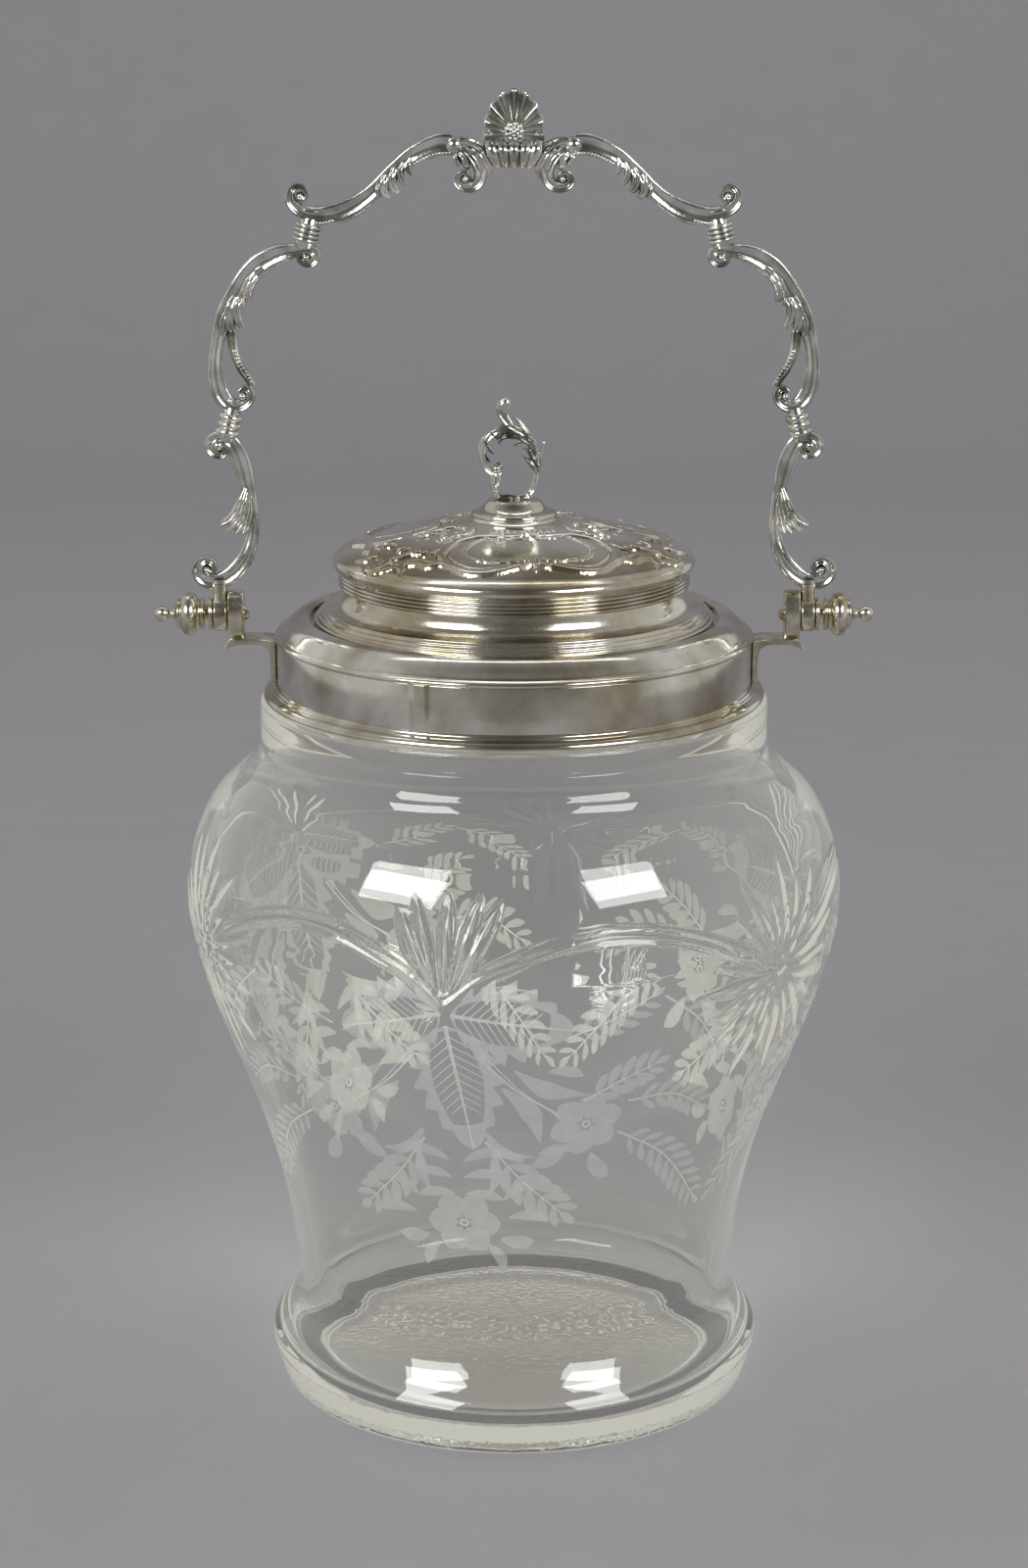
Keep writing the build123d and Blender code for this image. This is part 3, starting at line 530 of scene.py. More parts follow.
    def beads(self, path: Points, radius: float, lift: float = 0.0) -> None:
        """Adds a row of touching beads along a line in the handle's plane.

        Args:
            path: (x, z) points.
            radius: Each bead's radius.
            lift: Where the row lies through the plane.
        """
        line = np.asarray(path, float)
        length = np.linalg.norm(np.diff(line, axis=0), axis=1).sum()
        for x, z in flow(line, max(2, int(length / (radius * 1.9)))):
            self.ball((x, lift, z), radius, fine=7)

    def merge(self, other: "Form") -> None:
        """Adds another form as it is.

        Args:
            other: The form that is added.
        """
        self.points += other.points
        self.faces += [tuple(i + self.count for i in face) for face in other.faces]
        self.marks += other.marks
        self.count += other.count

    def mirrored(self) -> "Form":
        """Makes the same form for the other side of the jar.

        Returns:
            The mirrored form.
        """
        other = Form(count=self.count, marks=list(self.marks))
        other.points = [points * np.array((-1.0, 1.0, 1.0)) for points in self.points]
        other.faces = [face[::-1] for face in self.faces]
        return other

    def on(self, side: Side) -> "Form":
        """A right-hand form for either side of the jar."""
        return self if side is Side.RIGHT else self.mirrored()

    def piece(self, name: str, finishes: Sequence[bpy.types.Material], body: Body, slot: str,
              replaces: Sequence[str] = (), crease: float = CREASE, weld: bool = True) -> bpy.types.Object:
        """Turns the form into a piece that rides on a body.

        Args:
            name: The piece's name.
            finishes: Its materials, in the order of the marks.
            body: The body that carries it.
            slot: The record's material slot that it stands for. It is not used.
            replaces: The nodes that it stands for.
            crease: The angle in degrees past which an edge stays sharp.
            weld: Whether points that meet are joined and the faces are turned outwards.

        Returns:
            The new object.
        """
        mesh = bpy.data.meshes.new(name)
        mesh.from_pydata((np.concatenate(self.points) * MM).tolist(), [], self.faces)
        for finish in finishes:
            mesh.materials.append(finish)
        mesh.polygons.foreach_set("material_index", self.marks)
        made = bpy.data.objects.new(name, mesh)
        bpy.context.scene.collection.objects.link(made)
        if weld:
            work = bmesh.new()
            work.from_mesh(mesh)
            bmesh.ops.remove_doubles(work, verts=work.verts, dist=1e-6)
            bmesh.ops.dissolve_degenerate(work, dist=1e-7, edges=work.edges)
            bmesh.ops.recalc_face_normals(work, faces=work.faces)
            limit = math.radians(crease)
            for edge in work.edges:
                edge.smooth = not edge.is_manifold or edge.calc_face_angle(0.0) < limit
            work.to_mesh(mesh)
            work.free()
        mesh.polygons.foreach_set("use_smooth", [True] * len(mesh.polygons))
        mesh.update()
        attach(made, body.value)
        if replaces:
            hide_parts(*replaces)
        LOG.info("%s: %d faces on %s", name, len(mesh.polygons), body.value)
        return made


def turned_piece(name: str, outline: np.ndarray, segments: int, finish: bpy.types.Material, body: Body,
                 node: str) -> None:
    """Turns a plain silver moulding and makes it a piece.

    Args:
        name: The piece's name.
        outline: (radius, height) points, round the section once.
        segments: How many steps go round.
        finish: Its silver.
        body: The body that carries it.
        node: The node that it stands for.
    """
    form = Form()
    form.turned(outline, segments)
    form.piece(name, [finish], body, "polished_silver", [node])


@dataclass
class Finishes:
    """The jar's materials, each made once."""

    # Body: clear, with a slow ripple that bends what shows through it
    glass: bpy.types.Material = field(default_factory=Flint().material)
    # Foot: the same glass with a fine ripple and a slight frost, from the table and from scratches
    foot: bpy.types.Material = field(default_factory=Flint(
        "shelf_worn_flint_glass", "#F6F6F1", ripple_mm=1.3, ripple_depth=0.0006, wear=0.1).material)
    # Leaves and flowers: a white bloom that the glass still shows through
    matte: bpy.types.Material = field(default_factory=WheelMatte(
        "wheel_ground_matte", "#EDEEEB", "#E3E5E2", 0.37).material)
    # Veins and stems: whiter and denser, so that they stand out from the bloom
    scratch: bpy.types.Material = field(default_factory=WheelMatte(
        "wheel_ground_line", "#FAFBF8", "#F2F3EF", 0.5).material)
    # Band, mouldings and boss: the smoothest silver, broad warm clouds and slow dents, with light tarnish
    # and painted shade in the hollows
    spun: bpy.types.Material = field(default_factory=Silver(
        "spun_sterling_silver", "#E9E7DF", "#A89D84", "#26251F", 0.11, 17.0, 0.6, 0.4, 9.0).material)
    # Lid: the same clouds, and black lines along the chasing, from tarnish kept in its hollows and from
    # painted shade
    chased: bpy.types.Material = field(default_factory=Silver(
        "chased_sterling_silver", "#E9E6DC", "#B5A98F", "#1C1A16", 0.14, 18.0, 1.5, 1.0, 7.0).material)
    # Handle and finial: cooler and closely mottled, dark between the leaves from tarnish and from painted
    # shade
    cast: bpy.types.Material = field(default_factory=Silver(
        "cast_sterling_silver", "#E9E8E2", "#A3A69E", "#1F2424", 0.14, 5.0, 0.8, 0.8, 2.0).material)
    # Brackets, screws and eyes: duller and yellower, from hands and from sliding, with tarnish and painted
    # shade in the hollows
    worn: bpy.types.Material = field(default_factory=Silver(
        "turned_sterling_silver", "#DEDACB", "#B4A98A", "#1E1B15", 0.17, 4.0, 0.6, 0.7, 3.0).material)
    # Nut and washer inside the lid: yellow metal, unpolished
    brass: bpy.types.Material = field(default_factory=Plain(
        "turned_brass", "#C9A45C", "#8E6C34", 0.35, 1.0, 1.5).material)
    # Filling between the collar and the glass: chalky, without a shine
    plaster: bpy.types.Material = field(default_factory=Plain(
        "dry_plaster", "#DAD6CB", "#B9B3A4", 0.9, 0.0, 0.8).material)


@dataclass
class GlassBody:
    """The blown body with its cut stars, fans and festoons."""

    finish: Finishes
    wall: float = 2.8
    floor: float = 5.0
    belly: float = 66.45
    segments: int = 1080
    row_step: float = 0.4
    plain_step: float = 1.3
    dense_from: float = 66.0
    dense_to: float = 123.5
    star_angle: float = 51.3
    fan_angle: float = -11.6
    repeats: int = 3
    node_height: float = 98.2
    petals: int = 22
    star_core: float = 1.2
    star_lean: float = 0.1
    # How wide one degree of the skin is at the stars, in millimetres
    star_degree: float = 1.12
    # Reach, half width and depth of a star's long and short petals
    star_cuts: tuple[tuple[float, float, float], ...] = ((22.5, 1.35, 0.5), (19.0, 1.0, 0.35))
    # Rise, half width and depth of the festoon's two lines
    swag_cuts: tuple[tuple[float, float, float], ...] = ((0.0, 0.95, 0.4), (1.9, 0.55, 0.22))
    # The festoon left of a fan is a little narrower than the one right of it
    swag_shares: Pairs = ((1, 1.0), (-1, 57.1 / 62.9))
    outer: Pairs = (
        (50.9, 8.2), (50.05, 10.17), (48.46, 12.26), (45.84, 16.32), (44.8, 19.8), (45.6, 28.2),
        (47.49, 40.0), (51.7, 56.0), (57.69, 72.0), (63.4, 88.0), (66.5, 104.0), (65.49, 112.1),
        (62.8, 119.9), (60.5, 123.8), (56.1, 128.0), (52.55, 131.3), (51.0, 134.0))
    festoon: Pairs = (
        (0.0, 98.6), (6.0, 104.2), (12.2, 107.4), (21.8, 110.8), (30.1, 111.3), (40.7, 109.1),
        (50.4, 104.8), (62.9, 98.2))
    fan_tips: Pairs = ((-8.3, 117.1), (-5.5, 119.5), (0.7, 119.8), (6.2, 120.0), (9.7, 119.2))

    def skin(self) -> np.ndarray:
        """Samples the outer outline closely, from the foot's widest line to the neck.

        Returns:
            (radius, height) rows.
        """
        line = flow(self.outer, 1200)
        line[:, 0] = np.minimum(line[:, 0], self.belly)
        return line

    def radius(self, height: np.ndarray | float) -> np.ndarray:
        """The outer radius at one height or more."""
        line = self.skin()
        return np.interp(height, line[:, 1], line[:, 0])

    def degree(self, height: float) -> float:
        """How many millimetres wide one degree of the skin is at a height."""
        return math.radians(1) * float(self.radius(height))

    def rows(self) -> np.ndarray:
        """Picks the outline's rows: dense where the cutting is, coarse elsewhere.

        Returns:
            (radius, height) rows.
        """
        line = self.skin()
        picked = [line[0]]
        for point in line[1:]:
            dense = self.dense_from < point[1] < self.dense_to
            if np.linalg.norm(point - picked[-1]) >= (self.row_step if dense else self.plain_step):
                picked.append(point)
        picked[-1] = line[-1]
        return np.array(picked)

    def cut(self, depth: np.ndarray, angle: np.ndarray, height: np.ndarray, start: Sequence[float],
            end: Sequence[float], half_width: float, deep: float, lens: float = 0.8) -> None:
        """Deepens one wheel cut into the skin.

        Args:
            depth: The cut so far, by row and column. It is changed in place.
            angle: The columns' angles in degrees.
            height: The rows' heights.
            start: (angle, height) where the cut begins.
            end: (angle, height) where it ends.
            half_width: Half of its greatest width.
            deep: Its greatest depth.
            lens: Where a petal is widest: under 1 near its root, over 1 near its tip. 0 gives a line.
        """
        middle = (start[0] + end[0]) / 2
        scale = self.degree((start[1] + end[1]) / 2)
        across = ((angle - middle + 180) % 360 - 180) * scale
        a = np.array(((start[0] - middle) * scale, start[1]))
        b = np.array(((end[0] - middle) * scale, end[1]))
        reach = np.linalg.norm(b - a)
        columns = np.nonzero(np.abs(across) < abs(a[0]) + half_width + 1)[0]
        low, high = min(a[1], b[1]) - half_width, max(a[1], b[1]) + half_width
        rows = np.nonzero((height > low) & (height < high))[0]
        if not len(columns) or not len(rows):
            return
        x, z = np.meshgrid(across[columns], height[rows])
        t = ((x - a[0]) * (b[0] - a[0]) + (z - a[1]) * (b[1] - a[1])) / reach ** 2
        off = np.abs((x - a[0]) * (b[1] - a[1]) - (z - a[1]) * (b[0] - a[0])) / reach
        inside = np.clip(t, 0, 1)
        half = half_width * (np.sin(math.pi * inside ** lens) ** 0.75 if lens else 1.0)
        half = np.where((t < 0) | (t > 1), 1e-6, np.maximum(half, 1e-6))
        cut = deep * (half / half_width) ** 0.6 * np.clip(1 - (off / half) ** 2, 0, 1)
        block = np.ix_(rows, columns)
        depth[block] = np.maximum(depth[block], cut)

    def cutting(self, angle: np.ndarray, height: np.ndarray) -> np.ndarray:
        """All the cutting: three stars, three fans, and the festoons between them.

        Args:
            angle: The columns' angles in degrees.
            height: The rows' heights.

        Returns:
            The depth by row and column.
        """
        depth = np.zeros((len(height), len(angle)))
        for turn in range(self.repeats):
            fan = self.fan_angle + turn * 360 / self.repeats
            star = self.star_angle + turn * 360 / self.repeats
            for tip, high in self.fan_tips:
                self.cut(depth, angle, height, (fan + tip * 0.1, self.node_height + 1.5), (fan + tip, high),
                         1.8, 0.7, lens=1.4)
            for petal in range(self.petals):
                way = 2 * math.pi * petal / self.petals + self.star_lean
                reach, half, deep = self.star_cuts[petal % 2]
                root, tip = ((star + math.sin(way) * far / self.star_degree,
                              self.node_height + math.cos(way) * far) for far in (self.star_core, reach))
                self.cut(depth, angle, height, root, tip, half, deep)
            for hand, share in self.swag_shares:
                line = flow(self.festoon, 34) * np.array((share, 1.0))
                for first, second in zip(line[:-1], line[1:]):
                    for rise, half, deep in self.swag_cuts:
                        self.cut(depth, angle, height, (fan + hand * first[0], first[1] + rise),
                                 (fan + hand * second[0], second[1] + rise), half, deep, lens=0.0)
        return depth

    def build(self) -> None:
        """Builds the glass: one closed skin, outside, lip, inside, floor and punt."""
        rows = self.rows()
        degrees = np.linspace(0, 360, self.segments, endpoint=False)
        outside = rows[:, :1] - self.cutting(degrees, rows[:, 1])
        lip = softened([(51.0, 134.0, 0), (51.0, 143.4, 0.5), (45.6, 143.4, 0.4), (45.6, 152.8, 0.6),
                        (42.8, 152.8, 0.6), (42.8, 143.4, 0)])[1:-1]
        inside = np.array([(42.8, 143.4), (44.6, 139.0), (48.0, 135.2)])
        inside = np.concatenate([inside, (rows - np.array((self.wall, 0.0)))[::-2]])
        inside = inside[inside[:, 1] > self.floor + 5.5]
        foot = flow([inside[-1], (47.4, 8.6), (45.6, 6.2), (41.0, self.floor + 0.25), (34.0, self.floor)],
                    26)[1:]
        under = softened([(20.0, self.floor, 0), (0.0, self.floor, 0), (0.0, 1.2, 0), (38.8, 1.2, 0.8),
                          (40.0, 0.0, 0.8), (48.7, 0.0, 0.9), (50.7, 7.0, 0)], 4)
        rest = np.concatenate([lip, inside, foot, under])
        around = np.radians(degrees)
        form = Form()
        form.grid(np.concatenate([wrapped(outside, rows[:, 1:], around),
                                  wrapped(rest[:, :1], rest[:, 1:], around)]),
                  round_rows=True, round_columns=True)
        # The floor, the punt and the foot's rim take the worn finish
        worn = len(under) * self.segments
        form.marks[-worn:-self.segments] = [1] * (worn - self.segments)
        form.piece("blown_glass_jar", [self.finish.glass, self.finish.foot], Body.JAR, "clear_glass",
                   ["glass_jar"], crease=60.0)

@dataclass
class Engraving:
    """The wheel-engraved leaves, flowers and ferns on the glass, under each cut fan."""

    finish: Finishes
    glass: GlassBody
    stand_off: float = 0.06
    layer_gap: float = 0.004
    layers: int = 12
    # Base and tip as (angle from the fan's middle, height), and half width, of the trefoil's leaves
    trefoil: tuple[tuple[Pairs, float], ...] = (
        (((-0.5, 97.3), (-18.6, 92.3)), 8.0), (((1.2, 97.1), (21.6, 94.0)), 7.9),
        (((0.2, 94.9), (3.7, 67.0)), 8.0))
    # Stem, pairs of leaves, their length and half width, and how far they open
    sprays: tuple[tuple[Pairs, int, float, float, float], ...] = (
        (((20.5, 92.4), (27.0, 95.2), (35.2, 100.0)), 5, 5.8, 0.85, 55.0),
        (((37.0, 99.5), (44.5, 93.0), (50.5, 84.0)), 6, 5.6, 0.85, 55.0),
        (((24.5, 78.0), (31.0, 82.0), (38.0, 85.2)), 5, 5.6, 1.0, 55.0),
        (((32.0, 70.0), (42.0, 64.0), (57.5, 49.0)), 9, 6.0, 0.85, 55.0),
        (((33.0, 77.0), (42.0, 77.0), (51.0, 72.0)), 6, 5.4, 0.85, 55.0),
        (((6.0, 69.0), (12.5, 60.5), (22.8, 51.0)), 6, 6.8, 1.2, 50.0))
    # Line and half width of the bare stems
    stems: tuple[tuple[Pairs, float], ...] = (
        (((5.5, 88.5), (12.0, 81.0), (19.5, 75.5)), 0.2), (((6.6, 88.6), (13.1, 80.6), (19.8, 74.8)), 0.12))
    # Line and both edges of the ground crescents
    crescents: tuple[tuple[Pairs, Sequence[float], Sequence[float]], ...] = (
        (((11.8, 85.4), (17.4, 81.0), (24.9, 79.4)), (-0.2, -2.1, -0.1), (0.2, 2.1, 0.1)),
        (((9.4, 81.6), (14.6, 75.8), (16.8, 68.4)), (-0.3, -2.2, -0.1), (0.3, 2.2, 0.1)),
        (((6.0, 71.2), (9.6, 66.4), (15.6, 65.2)), (-0.3, -1.4, -0.1), (0.3, 1.3, 0.1)),
        (((7.4, 66.6), (8.0, 60.8), (6.2, 55.8)), (-0.2, -1.3, -0.1), (0.2, 1.3, 0.1)))
    # Root, heading, length, half width and bend of the single leaves
    single_leaves: tuple[tuple[tuple[float, float], float, float, float, float], ...] = (
        ((21.6, 67.5), 215.0, 7.5, 1.7, 20.0), ((27.0, 65.6), 165.0, 7.5, 1.7, -20.0),
        ((1.5, 64.0), 48.0, 8.5, 1.2, 25.0), ((1.2, 60.0), 60.0, 8.0, 1.2, 25.0),
        ((1.0, 56.0), 72.0, 7.5, 1.2, 25.0), ((9.5, 55.0), 30.0, 7.5, 1.2, 25.0),
        ((10.5, 51.0), 70.0, 8.0, 1.2, 25.0), ((5.5, 44.6), 125.0, 6.5, 1.2, 25.0),
        ((16.5, 66.0), 60.0, 6.5, 1.2, 25.0), ((17.5, 85.0), 75.0, 7.0, 1.2, 25.0))
    layer: int = 0
    form: Form = field(default_factory=Form)

    def place(self, drawn: np.ndarray) -> np.ndarray:
        """Wraps a drawing round the glass, a hair outside it and outside the last drawing.

        Args:
            drawn: (angle, height) points.

        Returns:
            Their X, Y and Z.
        """
        self.layer = (self.layer + 1) % self.layers
        lift = self.stand_off + self.layer * self.layer_gap
        radius = np.minimum(self.glass.radius(drawn[..., 1]), self.glass.belly - 0.1) + lift
        return wrapped(radius, drawn[..., 1], np.radians(drawn[..., 0]))

    def blade(self, path: Points, low: Sequence[float], high: Sequence[float], steps: int = 12,
              mark: int = 0) -> None:
        """A ground patch between two offsets of a line.

        Args:
            path: (angle, height) points of the line.
            low: Offsets in millimetres of one edge, spread along the line.
            high: Offsets of the other edge.
            steps: Samples along.
            mark: 0 for ground matte, 1 for a line.
        """
        line = flow(path, steps)
        scale = self.glass.degree(line[:, 1].mean())
        flat = line * np.array((scale, 1.0))
        heading = np.gradient(flat, axis=0)
        normal = np.stack([-heading[:, 1], heading[:, 0]], axis=-1)
        normal /= np.linalg.norm(normal, axis=1)[:, None]
        edges = [spread(low, steps) if len(low) != steps else np.asarray(low),
                 spread(high, steps) if len(high) != steps else np.asarray(high)]
        mix = np.linspace(0, 1, 5)[None, :, None]
        net = flat[:, None, :] + normal[:, None, :] * (edges[0][:, None, None] * (1 - mix)
                                                       + edges[1][:, None, None] * mix)
        self.form.grid(self.place(net / np.array((scale, 1.0))), mark=mark)

    def step(self, root: Sequence[float], way: float, length: float) -> tuple[float, float]:
        """The (angle, height) point at a length from another, with way in radians from straight up."""
        return (root[0] + math.sin(way) * length / self.glass.degree(root[1]),
                root[1] + math.cos(way) * length)

    def petal(self, root: Sequence[float], way: float, length: float, half: float,
              bend: float = 0.0) -> None:
        """Draws one ground leaf or petal.

        Args:
            root: (angle, height) of its root.
            way: Its heading in degrees from straight up.
            length: Its length.
            half: Half of its greatest width.
            bend: How far its heading turns toward the tip, in degrees.
        """
        path = [self.step(root, math.radians(way + bend * t), length * t) for t in np.linspace(0, 1, 5)]
        self.blade(path, [-half * w for w in PETAL_OUTLINE], [half * w for w in PETAL_OUTLINE], 9)

    def spray(self, path: Points, count: int, length: float, half: float, open_angle: float) -> None:
        """Draws a stem with paired leaves that shrink to its ends.

        Args:
            path: (angle, height) points of the stem.
            count: How many pairs of leaves.
            length: The longest leaf's length.
            half: Half of its width.
            open_angle: How far the leaves open from the stem, in degrees.
        """
        line = flow(path, count + 2)
        self.blade(path, [-0.25, -0.12], [0.25, 0.12], 14, mark=1)
        scale = self.glass.degree(line[:, 1].mean())
        for index in range(1, count + 1):
            ahead = line[index + 1] - line[index - 1]
            way = math.degrees(math.atan2(ahead[0] * scale, ahead[1]))
            size = length * (0.55 + 0.45 * math.sin(math.pi * (index + 0.6) / (count + 1.6)))
            for hand in (1, -1):
                self.petal(line[index], way + hand * open_angle, size, half * size / length, -hand * 14)
        last = line[-1] - line[-2]
        self.petal(line[-1] - last * 0.4, math.degrees(math.atan2(last[0] * scale, last[1])),
                   length * 0.6, half * 0.8)

    def flower(self, centre: Sequence[float], reach: float, half: float, turn: float,
               petals: int = 6) -> None:
        """Draws a flower of broad petals round a small ring.

        Args:
            centre: (angle, height) of its middle.
            reach: Each petal's length.
            half: Half of each petal's width.
            turn: The first petal's heading in degrees.
            petals: How many petals.
        """
        for index in range(petals):
            way = turn + 360 * index / petals
            self.petal(self.step(centre, math.radians(way), 1.2), way, reach, half)
        ring = [self.step(centre, a, 0.7) for a in np.linspace(0, 2 * math.pi, 10)]
        self.blade(ring, [-0.25, -0.25], [0.25, 0.25], 16, mark=1)

    def vine_leaf(self, base: Sequence[float], tip: Sequence[float], half: float) -> None:
        """A broad leaf: a toothed ground border, a clear heart, a midrib and side veins.

        Args:
            base: (angle, height) of its stalk.
            tip: (angle, height) of its point.
            half: Half of its greatest width.
        """
        steps = 61
        t = np.linspace(0, 1, steps)
        edge = half * np.sin(math.pi * t ** 0.82) ** 0.72
        edge[[0, -1]] = 0.0
        teeth = (t * 6.0) % 1.0
        outer = edge * (0.80 + 0.40 * teeth * (t > 0.08))
        inner = edge * 0.60 * (t < 0.80) * (t > 0.04)
        path = [base, ((base[0] + tip[0]) / 2, (base[1] + tip[1]) / 2), tip]
        self.blade(path, inner.tolist(), outer.tolist(), steps)
        self.blade(path, (-outer).tolist(), (-inner).tolist(), steps)
        self.blade(path, [-0.4, -0.3, -0.15], [0.4, 0.3, 0.15], 16, mark=1)
        scale = self.glass.degree((base[1] + tip[1]) / 2)
        ahead = np.array(((tip[0] - base[0]) * scale, tip[1] - base[1]))
        way = math.degrees(math.atan2(ahead[0], ahead[1]))
        for share in np.linspace(0.08, 0.62, 9):
            root = (base[0] + (tip[0] - base[0]) * share, base[1] + (tip[1] - base[1]) * share)
            long = np.interp(share + 0.16, t, inner) * 1.25
            for hand in (1, -1):
                turn = math.radians(way + hand * 52)
                end = (root[0] + math.sin(turn) * long / scale, root[1] + math.cos(turn) * long)
                self.blade([root, end], [-0.13, -0.09], [0.13, 0.09], 6, mark=1)

    def group(self, middle: float) -> None:
        """Draws all the engraving under one fan.

        Args:
            middle: The fan's angle.
        """
        def at(points: Points, hand: int = 1) -> list[tuple[float, float]]:
            """Moves (angle, height) points to this fan, mirrored for a hand of -1."""
            return [(middle + hand * a, h) for a, h in points]

        for ends, half in self.trefoil:
            self.vine_leaf(*at(ends), half)
        for hand in (1, -1):
            for path, *sizes in self.sprays:
                self.spray(at(path, hand), *sizes)
            for path, half in self.stems:
                self.blade(at(path, hand), [-half, -half], [half, half], 14, mark=1)
            for path, low, high in self.crescents:
                self.blade(at(path, hand), low, high)
            self.flower(at([(25.3, 72.6)], hand)[0], 6.0, 2.7, 10.0)
            for root, way, length, half, bend in self.single_leaves:
                self.petal(at([root], hand)[0], hand * way, length, half, hand * bend)
        self.flower(at([(0.4, 49.4)])[0], 6.0, 2.8, 30.0)
        for root, way, bend in (((-8.0, 46.0), 250, 15), ((8.6, 46.0), 110, -15)):
            self.petal(at([root])[0], way, 6.5, 1.6, bend)

    def build(self) -> None:
        """Builds one piece for each fan's engraving."""
        for turn in range(self.glass.repeats):
            self.form = Form()
            self.group(self.glass.fan_angle + turn * 360 / self.glass.repeats)
            self.form.piece(f"engraved_spray_{turn + 1}", [self.finish.matte, self.finish.scratch],
                            Body.JAR, "clear_glass", weld=False)


@dataclass
class Collar:
    """The silver collar that is cemented on the glass lip."""

    finish: Finishes
    shelf: float = 143.4
    band: float = 47.6
    band_inner: float = 46.8
    band_top: float = 155.6
    segments: int = 256
    band_segments: int = 720
    seam_angle: float = 248.0
    seam_half: float = 1.4
    seam_ease: float = 0.4
    seam_proud: float = 0.25
    # Radius, height above the shelf and softening of the foot bead's corners
    bead: Corners = (
        (47.6, 0.0, 0), (48.9, 0.0, 0.3), (50.1, 0.5, 0.6), (50.4, 1.2, 0.5), (49.9, 2.0, 0.5),
        (48.9, 2.4, 0.3), (48.6, 2.45, 0.1), (48.5, 2.62, 0.1), (48.35, 2.75, 0.1), (48.15, 2.8, 0.1),
        (48.1, 2.95, 0.1), (47.9, 3.2, 0.1), (47.6, 3.3, 0))
    # The same above the band's top for the shoulder, with the ledge that the lid sits on
    shoulder: Corners = (
        (46.8, 0.0, 0), (47.6, 0.0, 0.05), (48.02, 0.3, 0.25), (48.02, 0.8, 0.25), (47.5, 1.15, 0.1),
        (47.1, 1.35, 0.12), (46.9, 1.7, 0.3), (45.9, 2.55, 0.6), (44.7, 3.72, 0.9), (43.25, 4.66, 0.9),
        (41.9, 4.9, 0.4), (41.0, 4.45, 0.15), (41.0, 3.1, 0.2), (37.4, 3.1, 0.15), (37.4, 2.1, 0.1),
        (42.0, 2.1, 0), (42.0, 3.1, 0), (46.8, 1.1, 0))

    def build(self) -> None:
        """Builds the band with its lap seam, the bead with its wires, and the shoulder with the seat."""
        self.build_band()
        for name, outline, base, node in (
                ("collar_foot_bead", self.bead, self.shelf, "collar_bead"),
                ("collar_shoulder_moulding", self.shoulder, self.band_top, "collar_shoulder")):
            turned_piece(name, softened([(radius, base + rise, ease) for radius, rise, ease in outline]),
                         self.segments, self.finish.spun, Body.JAR, node)

    def build_band(self) -> None:
        """Builds the plain band, raised a little where its ends lap."""
        outline = softened([(self.band_inner, self.shelf, 0), (self.band, self.shelf, 0.1),
                            (self.band, self.band_top, 0.1), (self.band_inner, self.band_top, 0)])
        degrees = np.linspace(0, 360, self.band_segments, endpoint=False)
        off = np.abs(((degrees - self.seam_angle + 180) % 360 - 180) * math.radians(self.band))
        ease = self.seam_ease
        lap = self.seam_proud * np.clip(self.seam_half + ease - off, 0, ease) / ease
        around = np.radians(degrees)
        radius = outline[:, :1] + np.where(outline[:, :1] > 47.3, 1.0, 0.0) * lap
        form = Form()
        form.grid(np.stack([radius * np.cos(around), radius * np.sin(around), outline[:, 1:] + 0 * around],
                           axis=-1), round_rows=True, round_columns=True)
        form.piece("collar_plain_band", [self.finish.spun], Body.JAR, "polished_silver", ["collar_band"])


